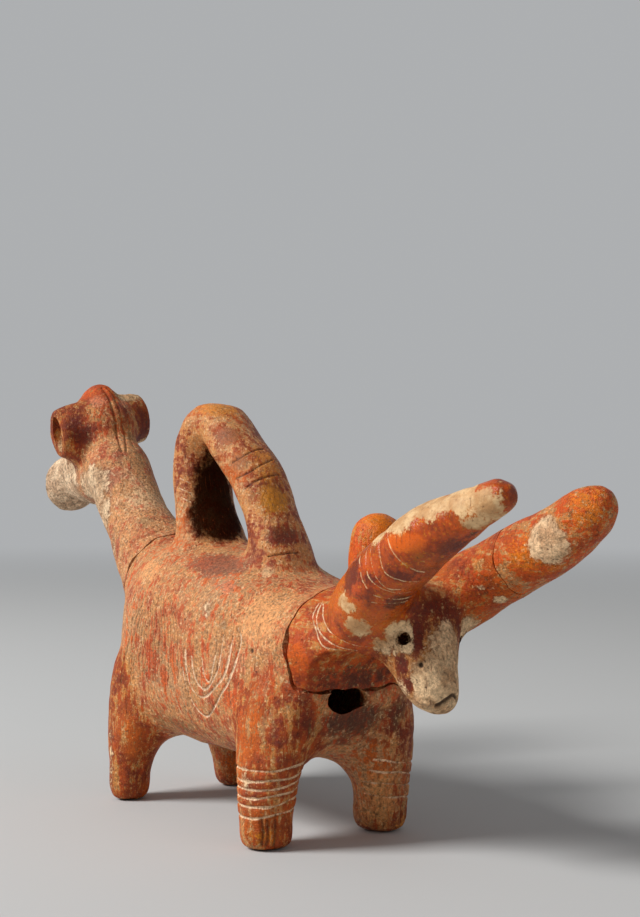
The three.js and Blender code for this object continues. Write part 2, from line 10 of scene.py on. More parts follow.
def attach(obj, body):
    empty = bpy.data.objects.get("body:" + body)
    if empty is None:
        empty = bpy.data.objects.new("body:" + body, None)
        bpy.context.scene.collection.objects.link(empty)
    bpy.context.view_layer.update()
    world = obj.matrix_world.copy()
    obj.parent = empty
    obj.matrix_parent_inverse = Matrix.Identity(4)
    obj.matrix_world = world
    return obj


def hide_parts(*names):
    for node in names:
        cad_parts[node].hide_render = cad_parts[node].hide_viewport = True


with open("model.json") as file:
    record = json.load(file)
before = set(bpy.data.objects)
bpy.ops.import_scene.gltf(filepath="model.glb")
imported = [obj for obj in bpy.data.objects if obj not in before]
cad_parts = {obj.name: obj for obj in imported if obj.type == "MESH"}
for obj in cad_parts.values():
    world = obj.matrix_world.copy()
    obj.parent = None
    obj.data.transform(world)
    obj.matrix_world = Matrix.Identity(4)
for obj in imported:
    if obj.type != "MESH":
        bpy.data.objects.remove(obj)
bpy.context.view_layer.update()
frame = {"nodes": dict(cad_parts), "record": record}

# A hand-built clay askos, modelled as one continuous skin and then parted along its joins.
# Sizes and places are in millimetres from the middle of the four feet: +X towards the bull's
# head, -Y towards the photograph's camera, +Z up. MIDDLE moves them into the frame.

MM = 0.001
record = frame["record"]
feet = [mount["pos_m"] for mount in record["mounts"]]
MIDDLE = sum(foot[0] for foot in feet) / len(feet) / MM
SLOTS = {part["node"]: part["material_slot"] for part in record["subparts"]}

# How fine the skin is, and how softly its inner corners are rounded
TORSO_VOXEL = 1.5
SKIN_VOXEL = 1.25
TORSO_FILLET = 9
SKIN_FILLET = 3.5
SMOOTHING_ROUNDS = 12
TONE_ROUNDS = 24
LUTING_SWELL = 0.25  # closes the gaps that the frame leaves at each join
SHARP_ANGLE = 50

# Barrel
BARREL_HALF = 61.5  # its length, halved
BARREL_HALF_WIDTH = 29.5
BELLY = 22
RUMP_TOP = 98
CHEST_TOP = 81
WALL = 6.5
FILLER_INSET = WALL - 2.5
END_ROUNDNESS = 3
SECTION_SQUARENESS = 2.5

# The old breaks
BULL_BREAK_X = 58
BULL_BREAK_Z = 48.5
BULL_BREAK_CORNER = 7
HORN_BREAK = (115.1, 89)
HORN_BREAK_TILT = 12
CRACK_SWAY = 0.45
CRACK_JITTER = 0.2

BODY = ("body_barrel", "front_left_leg", "front_right_leg", "rear_left_leg", "rear_right_leg",
        "loop_handle")
RAM = ("ram_neck", "ram_head", "ram_crest", "ram_left_horn", "ram_right_horn", "ram_snout")
BULL = ("bull_neck", "bull_head", "bull_poll_knob", "bull_right_horn", "bull_left_horn_base")
TIP = ("bull_left_horn_tip",)
TORSO = BODY[:5] + ("ram_neck", "bull_neck")


def build_mesh(name, points, faces, fields=None):
    mesh = bpy.data.meshes.new(name)
    count, corners = faces.shape
    mesh.vertices.add(len(points))
    mesh.vertices.foreach_set("co", np.ascontiguousarray(points, np.float32).ravel())
    mesh.loops.add(count * corners)
    mesh.loops.foreach_set("vertex_index", np.ascontiguousarray(faces, np.int32).ravel())
    mesh.polygons.add(count)
    starts = np.arange(0, count * corners, corners, dtype=np.int32)
    mesh.polygons.foreach_set("loop_start", starts)
    mesh.update(calc_edges=True)
    for field, values in (fields or {}).items():
        layer = mesh.attributes.new(field, "FLOAT", "POINT")
        layer.data.foreach_set("value", np.ascontiguousarray(values, np.float32))
    return mesh


def read_mesh(mesh, names=()):
    points = np.empty(len(mesh.vertices) * 3, np.float32)
    mesh.vertices.foreach_get("co", points)
    corners = np.empty(len(mesh.loops), np.int32)
    mesh.loops.foreach_get("vertex_index", corners)
    sides = len(corners) // len(mesh.polygons)
    fields = {}
    for name in names:
        fields[name] = np.zeros(len(mesh.vertices), np.float32)
        mesh.attributes[name].data.foreach_get("value", fields[name])
    return points.reshape(-1, 3).astype(float), corners.reshape(-1, sides).astype(np.int64), fields


def linked(name, data):
    made = bpy.data.objects.new(name, data)
    bpy.context.scene.collection.objects.link(made)
    return made


def dropped(holder):
    """Deletes an object and its mesh."""
    mesh = holder.data
    bpy.data.objects.remove(holder)
    bpy.data.meshes.remove(mesh)


def evaluated(points, faces, modifiers, fields=None):
    """A mesh after its modifiers, each given by its kind and settings."""
    holder = linked("work", build_mesh("work", points, faces, fields))
    for kind, settings in modifiers:
        modifier = holder.modifiers.new(kind, kind)
        for key, value in settings.items():
            setattr(modifier, key, value)
    graph = bpy.context.evaluated_depsgraph_get()
    result = bpy.data.meshes.new_from_object(holder.evaluated_get(graph))
    got = read_mesh(result, tuple(fields or ()))
    dropped(holder)
    bpy.data.meshes.remove(result)
    return got


def remeshed(points, faces, voxel):
    return evaluated(points, faces, [("REMESH", dict(mode="VOXEL", voxel_size=voxel))])[:2]


def subdivided(points, faces):
    return evaluated(points, faces, [("SUBSURF", dict(levels=1, render_levels=1))])[:2]


def combined(first, second, operation, fields=None):
    """The boolean of two closed skins, as triangles."""
    tool = linked("tool", build_mesh("tool", *second))
    cut = dict(operation=operation, solver="MANIFOLD", object=tool)
    got = evaluated(*first, [("BOOLEAN", cut), ("TRIANGULATE", {})], fields)
    dropped(tool)
    return got


def triangles(faces):
    return np.concatenate([faces[:, [0, 1, 2]], faces[:, [0, 2, 3]]])


def normals_of(points, faces):
    a, b = points[faces[:, 0]], points[faces[:, 1]]
    if faces.shape[1] == 4:
        facing = np.cross(points[faces[:, 2]] - a, points[faces[:, 3]] - b)
    else:
        facing = np.cross(b - a, points[faces[:, 2]] - a)
    total = np.zeros_like(points)
    for axis in range(3):
        for k in range(faces.shape[1]):
            total[:, axis] += np.bincount(faces[:, k], facing[:, axis], len(points))
    return total / (np.linalg.norm(total, axis=1, keepdims=True) + 1e-12)


def sides_of(faces):
    count = faces.shape[1]
    return np.concatenate([faces[:, [k, (k + 1) % count]] for k in range(count)])


def edges_of(faces):
    return np.unique(np.sort(sides_of(faces), axis=1), axis=0)


def neighbour_mean(values, edges, count):
    """The mean of each point's neighbours, for one column of values."""
    a, b = edges[:, 0], edges[:, 1]
    total = np.bincount(a, values[b], len(values)) + np.bincount(b, values[a], len(values))
    return total / count


def smoothed(points, faces, rounds, pull=0.5, push=-0.53):
    edges = edges_of(faces)
    count = np.bincount(edges.ravel(), minlength=len(points))
    for _ in range(rounds):
        for share in (pull, push):
            if share:
                means = [neighbour_mean(points[:, k], edges, count) for k in range(3)]
                points = points + share * (np.stack(means, 1) - points)
    return points


def filleted(points, faces, radius, voxel):
    """Grows the skin by radius and shrinks it again, which rounds its inner corners."""
    grown, grown_faces = remeshed(points + radius * normals_of(points, faces), faces, voxel)
    grown = smoothed(grown, grown_faces, 4, 0.5, 0)
    shrunk = grown - radius * normals_of(grown, grown_faces)
    return remeshed(shrunk, grown_faces, voxel)


def node_skin(name):
    points, faces, _ = read_mesh(frame["nodes"][name].data)
    return points / MM - [MIDDLE, 0, 0], faces


def joined(parts):
    points, faces, start = [], [], 0
    for part_points, part_faces in parts:
        points.append(part_points)
        faces.append(part_faces + start)
        start += len(part_points)
    return np.concatenate(points), np.concatenate(faces)


def connected(count, edges):
    """The lowest point index that each point is joined to."""
    label = np.arange(count)
    while True:
        low = np.minimum(label[edges[:, 0]], label[edges[:, 1]])
        lower = label.copy()
        np.minimum.at(lower, edges[:, 0], low)
        np.minimum.at(lower, edges[:, 1], low)
        lower = lower[lower]
        if (lower == label).all():
            return label
        label = lower


def kept(points, faces, keep, fields=None):
    index = np.cumsum(keep) - 1
    faces = index[faces[keep[faces[:, 0]]]]
    return points[keep], faces, {name: values[keep] for name, values in (fields or {}).items()}


def largest_part(points, faces):
    label = connected(len(points), edges_of(faces))
    names, counts = np.unique(label, return_counts=True)
    return kept(points, faces, label == names[counts.argmax()])[:2]


def loft(rings, start, end):
    """A closed skin over a row of rings, drawn to a point at each end."""
    rings = np.asarray(rings, float)
    rows, sides = rings.shape[:2]
    points = np.concatenate([[start], rings.reshape(-1, 3), [end]])
    faces = []
    for k in range(sides):
        after = (k + 1) % sides
        faces.append((0, 1 + after, 1 + k))
        for row in range(rows - 1):
            low, high = 1 + row * sides, 1 + (row + 1) * sides
            faces.append((low + k, low + after, high + after))
            faces.append((low + k, high + after, high + k))
        last = 1 + (rows - 1) * sides
        faces.append((len(points) - 1, last + k, last + after))
    return points, np.array(faces)


def barrel_loft(inset, sides=48, rows=24):
    reach = BARREL_HALF - inset

    def back_at(x):
        return RUMP_TOP + (CHEST_TOP - RUMP_TOP) * (x + BARREL_HALF) / (2 * BARREL_HALF)
    rings = []
    for row in range(1, rows):
        share = -math.cos(math.pi * row / rows)
        swell = (1 - abs(share) ** END_ROUNDNESS) ** (1 / END_ROUNDNESS)
        x = share * reach
        wide = (BARREL_HALF_WIDTH - inset) * swell
        deep = ((back_at(x) - BELLY) / 2 - inset) * swell
        turn = np.arange(sides) * 2 * math.pi / sides
        c, s = np.cos(turn), np.sin(turn)
        power = SECTION_SQUARENESS
        reach_at = (np.abs(c) ** power + np.abs(s) ** power) ** (-1 / power)
        level = (back_at(x) + BELLY) / 2
        ring = [np.full(sides, x), wide * reach_at * c, level + deep * reach_at * s]
        rings.append(np.stack(ring, 1))
    tips = [(x, 0, (back_at(x) + BELLY) / 2) for x in (-reach, reach)]
    return loft(rings, *tips)


def tube(stations, sides=28, y=0.0):
    """A tube in the middle plane through (x, z, half width, half depth) stations."""
    stations = np.array(stations, float)
    rings = []
    for i, (x, z, wide, deep) in enumerate(stations):
        before = stations[max(i - 1, 0)]
        after = stations[min(i + 1, len(stations) - 1)]
        run = np.array([after[0] - before[0], 0, after[1] - before[1]])
        run /= np.linalg.norm(run)
        up = np.array([-run[2], 0, run[0]])
        turn = np.arange(sides) * 2 * math.pi / sides
        c, s = np.cos(turn)[:, None], np.sin(turn)[:, None]
        rings.append(np.array([x, y, z]) + wide * c * np.array([0, 1, 0]) + deep * s * up)
    return loft(rings, rings[0].mean(0), rings[-1].mean(0))


def ball(centre, radii, turn=None, sides=20, rows=12):
    """An ellipsoid, with turn's columns as its three axes."""
    rings = []
    for row in range(1, rows):
        angle = math.pi * row / rows
        round_ = np.arange(sides) * 2 * math.pi / sides
        flat = [np.full(sides, -math.cos(angle)), math.sin(angle) * np.cos(round_),
                math.sin(angle) * np.sin(round_)]
        rings.append(np.stack(flat, 1))
    points, faces = loft(rings, (-1, 0, 0), (1, 0, 0))
    points = points * radii
    if turn is not None:
        points = points @ np.array(turn).T
    return points + centre, faces


def waves(points, length, seed, count=10):
    """A smooth random field in about -1..1, from plane waves of that length."""
    draw = np.random.default_rng(seed)
    total = np.zeros(len(points))
    for _ in range(count):
        way = draw.normal(size=3)
        way /= np.linalg.norm(way)
        pitch = 2 * math.pi / (length * draw.uniform(0.7, 1.4))
        total += np.sin(points @ way * pitch + draw.uniform(0, 2 * math.pi))
    return total / math.sqrt(count)


def curve_through(marks, step=0.4):
    """Points along a Catmull-Rom curve through the marks."""
    marks = np.array(marks, float)
    ends = np.concatenate([[2 * marks[0] - marks[1]], marks, [2 * marks[-1] - marks[-2]]])
    samples = []
    for i in range(1, len(ends) - 2):
        a, b, c, d = ends[i - 1:i + 3]
        count = max(2, int(np.linalg.norm(c - b) / step))
        t = (np.arange(count) / count)[:, None]
        samples.append(0.5 * (2 * b + (c - a) * t + (2 * a - 5 * b + 4 * c - d) * t ** 2
                              + (3 * b - a - 3 * c + d) * t ** 3))
    samples.append(marks[-1:])
    return np.concatenate(samples)


def nearest_distance(points, samples, margin):
    """Distance to the nearest sample, or margin where that is further."""
    distance = np.full(len(points), float(margin))
    low, high = samples.min(0) - margin, samples.max(0) + margin
    near = np.nonzero(((points > low) & (points < high)).all(1))[0]
    for start in range(0, len(samples), 16):
        few = samples[start:start + 16]
        low, high = few.min(0) - margin, few.max(0) + margin
        some = near[((points[near] > low) & (points[near] < high)).all(1)]
        if len(some):
            gaps = np.linalg.norm(points[some][:, None] - few[None], axis=2).min(1)
            distance[some] = np.minimum(distance[some], gaps)
    return distance


def flattened(points, end, facing, reach):
    """Presses what stands out beyond a round flat end back onto its plane."""
    out = (points - end) @ facing
    aside = np.linalg.norm(points - end - out[:, None] * facing, axis=1)
    beyond = np.where((out > 0) & (aside < reach), out, 0)
    return points - beyond[:, None] * facing


def soft(points, centre, radii):
    return np.exp(-(((points - centre) / radii) ** 2).sum(1))


def leaned(points):
    """Moves parts of the skin a little, each most at its own centre."""
    moved = points.copy()
    for centre, radii, shift in LEANS:
        moved += soft(points, np.array(centre), np.array(radii))[:, None] * shift
    return moved


def deepened(points, middle, radius):
    """Pushes the skin out of a level bar across the throat, less towards the chin."""
    x, z = points[:, 0] - middle[0], points[:, 2] - middle[1]
    away = np.hypot(x, z)
    wanted = radius - THROAT_NARROWING * np.clip((x - 2) / 8, 0, 1)
    here = (points[:, 0] > THROAT_START) & (x < THROAT_REACH)
    pushed = np.where(here & (away < wanted), wanted / away, 1)
    moved = points.copy()
    moved[:, 0] = middle[0] + x * pushed
    moved[:, 2] = middle[1] + z * pushed
    return moved


# The ram's horns end flat, and so does its snout: middle, facing, radius.
FLAT_ENDS = (
    ((-111.8, -18.9, 131.6), (-0.087, -0.978, -0.19), 12.5),
    ((-111.3, 17.2, 139.1), (-0.087, 0.978, 0.19), 12.5),
    ((-140.6, 0, 113.4), (-1, 0, 0), 14),
)
# Small unevennesses of the hand-built form: centre, radii, movement there.
LEANS = (
    ((-72, 0, 92), (16, 18, 18), (-1.6, 0, -0.4)),
    ((-134, 0, 112), (14, 16, 12), (0.6, 0, 2.2)),
    ((-82, 0, 108), (16, 18, 16), (-0.9, 0, -0.7)),
    ((-112, -21, 132), (10, 7, 12), (-0.4, -1.7, -1.9)),
    ((-8, 0, 136), (16, 12, 8), (0.6, 0, 0.8)),
    ((8, 0, 122), (10, 12, 10), (1.4, 0, 0.6)),
    ((48, -24, 8), (14, 12, 18), (-1.4, -0.8, 0)),
    ((46, -22, 20), (12, 12, 9), (-0.8, -1, 0)),
    ((47, -13, 29), (9, 6, 8), (-1.5, -2.6, 0.6)),
    ((44, 15, 5), (6, 8, 6), (-1.2, -1.3, 0)),
    ((30, 0, 84), (8, 14, 8), (-0.6, 0, -0.8)),
    ((-40, -24, 29), (8, 10, 11), (3.2, 0, -0.5)),
    ((-26, -18, 33), (13, 14, 8), (0, 0, -1.1)),
    ((-48, 18, 26), (10, 9, 12), (-2.4, -2.6, -0.6)),
    ((149, -17, 108), (10, 10, 8), (2, 0, -0.3)),
    ((128, 12, 98), (16, 10, 12), (0.6, 0, -2.2)),
    ((149, 14, 109), (8, 10, 8), (1.5, 0, 0.9)),
    ((100, 9, 56), (8, 6, 10), (-0.6, -1.3, 0)),
    ((99, 12, 72), (6, 6, 6), (0.6, 1, 0)),
)
THROAT = (80, 46)
THROAT_RADIUS = 17.6
THROAT_NARROWING = 2
THROAT_START = 56
THROAT_REACH = 12  # past the bar's middle, towards the chin

# The skin: the torso is closed and softened first, then the luted parts are added.
ram_fill = [(-40, 66, 14, 14), (-62, 87.5, 11, 11), (-76.8, 98, 9, 9), (-100, 122, 9, 9)]
ram_throat = [(-94, 116, 12, 10), (-106, 114.5, 12, 10), (-114, 113.5, 11, 9.5), (-125, 113, 9, 9)]
bull_fill = [(25, 56, 20, 17), (56, 63, 16, 12), (66, 68.5, 11, 7), (78, 72, 7, 6)]
torso = [node_skin(name) for name in TORSO]
torso += [barrel_loft(FILLER_INSET), tube(ram_fill), tube(bull_fill)]
skin = largest_part(*remeshed(*joined(torso), TORSO_VOXEL))
skin = largest_part(*filleted(*skin, TORSO_FILLET, TORSO_VOXEL))
luted = [(skin[0], triangles(skin[1])), tube(ram_throat)]
for name in BODY[5:] + RAM[1:] + BULL[1:] + TIP:
    points, faces = node_skin(name)
    luted.append((points + LUTING_SWELL * normals_of(points, faces), faces))
skin = largest_part(*remeshed(*joined(luted), SKIN_VOXEL))
skin = largest_part(*filleted(*skin, SKIN_FILLET, SKIN_VOXEL))
skin = leaned(smoothed(*skin, SMOOTHING_ROUNDS)), skin[1]
points, faces = subdivided(*skin)
faces = triangles(faces)
for end, facing, reach in FLAT_ENDS:
    points = flattened(points, np.array(end), np.array(facing), reach)
points = deepened(points, THROAT, THROAT_RADIUS)
surface = BVHTree.FromPolygons(skin[0].tolist(), skin[1].tolist())


def on_skin(samples):
    return np.array([surface.find_nearest(Vector(sample))[0] for sample in samples])


# Incised lines, by style: half width, depth, white filling, painted shade in the groove. Each line
# is given by the marks that it runs through.
FINE = (0.32, 0.3, 0.85, 0)
SCORED = (0.38, 0.4, 0, 0.65)
DROP = (0.5, 0.45, 0.8, 0)
TOE = (0.7, 0.7, 0, 0.55)
FAR_TOE = (0.6, 0.5, 0, 0.4)
COMB = (0.45, 0.32, 0.2, 0.5)
NEAR_RING = (0.5, 0.5, 0.8, 0)
FAR_RING = (0.45, 0.45, 0.6, 0)
# the pits get no white filling, and full painted shade
PIT_WHITE_AND_SHADE = (0, 1)
FINE_LINES = (
    # round the near horn
    ((93, -22, 96), (98.5, -26.7, 88.8), (99.7, -26.9, 85.6), (101.2, -26.1, 82.9)),
    ((97, -22, 98), (101.5, -26.9, 90.2), (102.8, -26.9, 86.2), (105.6, -25, 83.1),
     (109.9, -17.2, 81.8)),
    ((100, -22, 100), (103.6, -27, 92.5), (104.6, -27.2, 89.1), (107.3, -24.3, 83.1),
     (110.3, -21.1, 82.6)),
    ((104, -22, 101), (108, -27.2, 93.6), (110, -26.1, 87.1), (115.1, -18.7, 84.9)),
    ((108, -22, 102), (113.7, -27.2, 94.2), (117.2, -25, 89.6), (119, -20.1, 87.5)),
    # below them, towards the brow
    ((102.4, -24.6, 80.9), (105.3, -21.7, 79.9), (107, -14.9, 80.3)),
    ((100.4, -23.6, 78.9), (104.3, -20.7, 77.9), (106, -14.9, 78.3)),
    # on the bull's neck
    ((64, -17, 77), (66.1, -20, 72.5), (70.1, -21.7, 69), (73.9, -21.8, 64.6),
     (78.5, -20.3, 63.6)),
    ((64.5, -16, 77.5), (68.5, -20.4, 71.8), (72.8, -21.5, 67.9), (79.8, -20.2, 64.6),
     (84.3, -17.2, 63.5)),
    ((65.7, -16, 76.2), (71.7, -20.2, 72.5), (76.5, -21.5, 69.5), (82, -20.8, 66.9),
     (90.8, -12.7, 63.4)),
    # on the handle's rear leg
    ((-29.5, -10.8, 114), (-26.1, -8.4, 112.3)),
    ((-29.4, -10.9, 110.5), (-25.6, -8.3, 108.7)),
    ((-28.2, -10.8, 107.3), (-25.1, -8.9, 105.6)),
)
DROP_LINES = (
    # nested drops on the flank
    ((5.6, -29.3, 51.8), (6.6, -28.8, 45.7), (8.8, -27.8, 41), (11.9, -26.7, 37.7),
     (16.1, -26.3, 37.1), (21.8, -27.3, 40.5), (26.4, -27.9, 44.6), (32.3, -27.8, 51.2),
     (36, -26.4, 62.6), (33.4, -25.9, 66.8)),
    ((7.6, -29.4, 57.9), (8.2, -29.1, 48.8), (10.8, -28.6, 44.5), (15.2, -28.2, 43.2),
     (21.1, -28.4, 45.3), (29.9, -28.1, 52.5), (32.1, -26.9, 63.9)),
    ((10.8, -29.3, 55.9), (11.9, -29.2, 50.8), (14.5, -28.9, 47.2), (19.1, -28.6, 46.4),
     (25.8, -28.6, 53.1), (27.2, -27.6, 64.2)),
    ((16.2, -29.2, 56), (18.4, -29, 49.9), (21.8, -28.8, 49.6), (24.1, -28.7, 57.7)),
)
SCORED_LINES = (
    # across the handle
    ((3.3, -8.8, 118.8), (5.5, -6.2, 120.5), (4.8, 1.8, 123)),
    ((6.1, -9.3, 113.5), (10.1, -6.4, 115.4), (8.7, 2.4, 118.9)),
    ((11.3, -8.7, 110.1), (12.8, -6.1, 112.4), (12.6, 2.7, 114.5)),
    ((25.2, -9.1, 88.5), (27.9, -4.3, 89.4), (28.6, 1, 89.8)),
)
# Lines with a style of their own
OTHER_LINES = (
    # beside the ram's crest
    (((-107.4, -1.7, 150.4), (-103.8, -1.2, 147.5), (-98, -1.8, 142), (-95.5, -1.7, 136.4),
      (-93.6, -1.8, 130.9), (-87.3, -3.2, 125.3)), (0.6, 0.6, 0, 0.45)),
    (((-107, 0.4, 150.4), (-104.4, 1.4, 148), (-99, 1, 143.3), (-95.7, 1, 137.3),
      (-94, 1.6, 131.4), (-86.8, -1.3, 125.3)), (0.5, 0.45, 0.1, 0.35)),
    (((-103, 4, 146), (-98, 4, 141), (-94.5, 4.5, 133), (-90, 3, 126)), (0.4, 0.3, 0, 0.4)),
    # on the ram's nape
    (((-67, -13.5, 93), (-65.3, -10.5, 97.5), (-61.6, -5, 99.8), (-58.9, -2.2, 99)),
     (0.4, 0.3, 0, 0.4)),
    (((-60.2, -14.9, 87), (-58.9, -12.6, 91.4), (-55, -8.5, 94), (-54.4, -3.5, 96.2)),
     (0.5, 0.45, 0, 0.3)),
    (((-53, -15, 85), (-49.5, -11.6, 89.1), (-45.3, -5.6, 91.3)), (0.5, 0.4, 0, 0.3)),
    # the bull's mouth and lip
    (((104.2, -3.8, 48.8), (105.8, -1.4, 50.4), (106.1, 1.4, 51.6), (105.4, 4, 50.2)),
     (0.8, 1.1, 0, 0.9)),
    (((102.3, -6.5, 50.7), (103.8, -5.1, 50.2), (104.4, -3.5, 49)), (0.6, 0.5, 0, 0.3)),
)

# All of them, with the toes of the front feet
incised = list(OTHER_LINES)
for lines, style in ((FINE_LINES, FINE), (DROP_LINES, DROP), (SCORED_LINES, SCORED)):
    incised += [(marks, style) for marks in lines]
for y in (-28.7, -26.5, -23.8):
    incised.append((((51.5, y, 10), (52.5, y, 6), (51, y, 1.5)), TOE))
    incised.append((((51.5, -y, 9.5), (52.5, -y, 6), (51, -y, 1.5)), FAR_TOE))

# Combing on the flank: one stroke follows each of COMBS steps from the left to the right.
COMBS = 19
comb_left = np.array([(-28.3, -27, 71.8), (-33.8, -27.5, 61.1), (-38.5, -27.8, 48.5),
                      (-39, -29.1, 36.3)])
comb_right = np.array([(-6.1, -26.8, 73.8), (0.4, -29, 63.8), (1.7, -29.4, 52.4),
                       (-0.7, -27.6, 40.5)])
comb_draw = np.random.default_rng(11)
for n in range(COMBS):
    share = (n + comb_draw.uniform(-0.3, 0.3)) / (COMBS - 1)
    marks = comb_left + (comb_right - comb_left) * share
    start, end = comb_draw.uniform(0, 0.25), comb_draw.uniform(0.7, 1)
    marks = curve_through(marks, 3)
    marks = marks[int(start * len(marks)):max(int(end * len(marks)), 4)]
    incised.append((marks + comb_draw.normal(0, 0.25, marks.shape), COMB))

# Incised rings round the front legs, by their height at the front
NEAR_RINGS = (26.5, 23.2, 20.6, 18.2, 15.2, 12)
FAR_RINGS = (23.5, 20, 16, 12)
RING_FALL = 0.14  # per millimetre outwards
RINGED_FROM_X, RINGED_FROM_Y, RINGED_UP_TO = 30, 12, 36
LEG_MIDDLE = (45.5, 20)

# A pit on the flank, and the nostrils: centre, radius, depth.
PITS = (
    ((41.7, -26, 60.3), 0.7, 0.9),
    ((101.6, -7.4, 60.5), 0.8, 0.9),
    ((101.6, 7.4, 60.5), 0.8, 0.9),
)

FAR_AWAY = 9.0
LINE_REACH = 3
FINE_REACH = 1.3  # edges this close to a line are split
FINE_EDGE = 0.45  # when they are longer than this
curves = [(on_skin(curve_through(marks)), style) for marks, style in incised]


def ring_distance(points, level, side):
    """How far above or below a leg's ring each point lies, and FAR_AWAY elsewhere."""
    x, y, z = points.T
    outward = -side * y - LEG_MIDDLE[1]
    ring = level - RING_FALL * outward + 0.2 * np.sin(outward * 0.5 + level)
    here = (x > RINGED_FROM_X) & (side * y < -RINGED_FROM_Y) & (z < RINGED_UP_TO)
    front = (x - LEG_MIDDLE[0]) + outward * 0.8 > -4
    return np.where(here & front, np.abs(z - ring), FAR_AWAY)


def relief(points):
    """How deep to press the skin in, how white each place is and how much painted shade lies in
    its groove, and how near a line.
    """
    depth = np.zeros(len(points))
    white = np.zeros(len(points))
    dark = np.zeros(len(points))
    near = np.full(len(points), FAR_AWAY)

    def press(distance, half_width, deep, filled, shaded):
        """One groove, a bell that is trimmed at its shoulders."""
        groove = np.exp(-(distance / half_width) ** 2)
        shoulder = np.exp(-((distance - 2.1 * half_width) / (0.8 * half_width)) ** 2)
        pressed = deep * (groove - 0.22 * shoulder)
        np.maximum(depth, pressed, out=depth, where=groove + shoulder > 0.02)
        np.maximum(white, filled * groove, out=white)
        np.maximum(dark, shaded * groove, out=dark)
        np.minimum(near, distance, out=near)
    for samples, style in curves:
        press(nearest_distance(points, samples, LINE_REACH), *style)
    for level in NEAR_RINGS:
        press(ring_distance(points, level, 1), *NEAR_RING)
    for level in FAR_RINGS:
        press(ring_distance(points, level, -1), *FAR_RING)
    for centre, radius, deep in PITS:
        distance = nearest_distance(points, np.array([centre]), LINE_REACH)
        press(distance, radius, deep, *PIT_WHITE_AND_SHADE)
    return depth, white, dark, near


def refined(points, faces, near, reach, longest):
    """Splits the triangles close to an incised line, and joins them to the rest."""
    edges = edges_of(faces)
    length = np.linalg.norm(points[edges[:, 0]] - points[edges[:, 1]], axis=1)
    marked = (near[edges].min(1) < reach) & (length > longest)
    keys = edges[:, 0] * len(points) + edges[:, 1]
    halves = np.full(len(edges), -1)
    halves[marked] = len(points) + np.arange(marked.sum())
    middles = points[edges[marked]].mean(1)
    sides = np.sort(faces[:, [[0, 1], [1, 2], [2, 0]]], axis=2)
    place = np.searchsorted(keys, sides[..., 0] * len(points) + sides[..., 1])
    split = halves[place]
    count = (split >= 0).sum(1)
    made = [faces[count == 0]]
    for n in (1, 2):
        some, cuts = faces[count == n], split[count == n]
        odd = (cuts >= 0).argmax(1) if n == 1 else (cuts < 0).argmax(1)
        turn = (odd[:, None] + np.arange(3)) % 3
        some, cuts = np.take_along_axis(some, turn, 1), np.take_along_axis(cuts, turn, 1)
        if n == 1:
            made.append(np.stack([some[:, 0], cuts[:, 0], some[:, 2]], 1))
            made.append(np.stack([cuts[:, 0], some[:, 1], some[:, 2]], 1))
        else:
            made.append(np.stack([cuts[:, 1], some[:, 2], cuts[:, 2]], 1))
            made.append(np.stack([some[:, 0], some[:, 1], cuts[:, 1]], 1))
            made.append(np.stack([some[:, 0], cuts[:, 1], cuts[:, 2]], 1))
    some, cuts = faces[count == 3], split[count == 3]
    made.append(cuts)
    for k in range(3):
        made.append(np.stack([some[:, k], cuts[:, k], cuts[:, k - 1]], 1))
    return np.concatenate([points, middles]), np.concatenate(made)


UNEVENNESS = ((0.3, 24, 1), (0.12, 9, 2), (0.035, 3, 3))  # height, wavelength, seed
near = relief(points)[3]
points, faces = refined(points, faces, near, FINE_REACH, FINE_EDGE)
depth, white, dark, _ = relief(points)
unevenness = sum(high * waves(points, length, seed) for high, length, seed in UNEVENNESS)
normals = normals_of(points, faces)
points = points + normals * (unevenness - depth)[:, None]
points[:, 2] = np.maximum(points[:, 2], 0)
fields = {"white": white, "dark": dark}


def sheet(path, half_span, thickness, seed, away=0.0):
    """A wavy sheet of cutting thickness along an XZ path, across the middle plane."""
    path = curve_through([(x, 0, z) for x, z in path], 1.0)
    run = np.gradient(path, axis=0)
    run /= np.linalg.norm(run, axis=1, keepdims=True)
    side = np.stack([-run[:, 2], 0 * run[:, 0], run[:, 0]], 1)
    across = np.linspace(away - half_span, away + half_span, int(2 * half_span) + 1)
    grid = path[:, None] + across[None, :, None] * np.array([0, 1, 0])
    flat = grid.reshape(-1, 3)
    sway = CRACK_SWAY * waves(flat, 9, seed) + CRACK_JITTER * waves(flat, 3, seed + 1)
    steep = np.repeat(np.abs(run[:, 2]), len(across))
    thick = thickness * np.clip(1 + 0.5 * waves(flat, 7, seed + 2), 0.35, 2)
    thick = thick * (0.4 + 0.6 * steep)
    out = np.repeat(side, len(across), axis=0)
    top = flat + out * (sway + thick / 2)[:, None]
    low = flat + out * (sway - thick / 2)[:, None]
    rows, columns = grid.shape[:2]
    index = np.arange(rows * columns).reshape(rows, columns)
    a, b, c, d = index[:-1, :-1], index[1:, :-1], index[1:, 1:], index[:-1, 1:]
    upper = np.stack([a, d, c, b], 2).reshape(-1, 4)
    lower = upper[:, ::-1] + len(flat)
    rim = np.concatenate([index[0, :-1], index[:-1, -1], index[-1, :0:-1], index[:0:-1, 0]])
    after = np.roll(rim, -1)
    wall = np.stack([rim, rim + len(flat), after + len(flat), after], 1)
    quads = np.concatenate([upper, lower, wall])
    skin = np.concatenate([top, low]), triangles(quads)
    return oriented(skin)


def oriented(skin):
    """The skin facing outwards."""
    a, b, c = (skin[0][skin[1][:, k]] for k in range(3))
    if np.einsum("ij,ij->i", a, np.cross(b, c)).sum() < 0:
        return skin[0], skin[1][:, ::-1]
    return skin


def turned(point, degrees, length):
    angle = math.radians(degrees)
    return point[0] + length * math.cos(angle), point[1] + length * math.sin(angle)


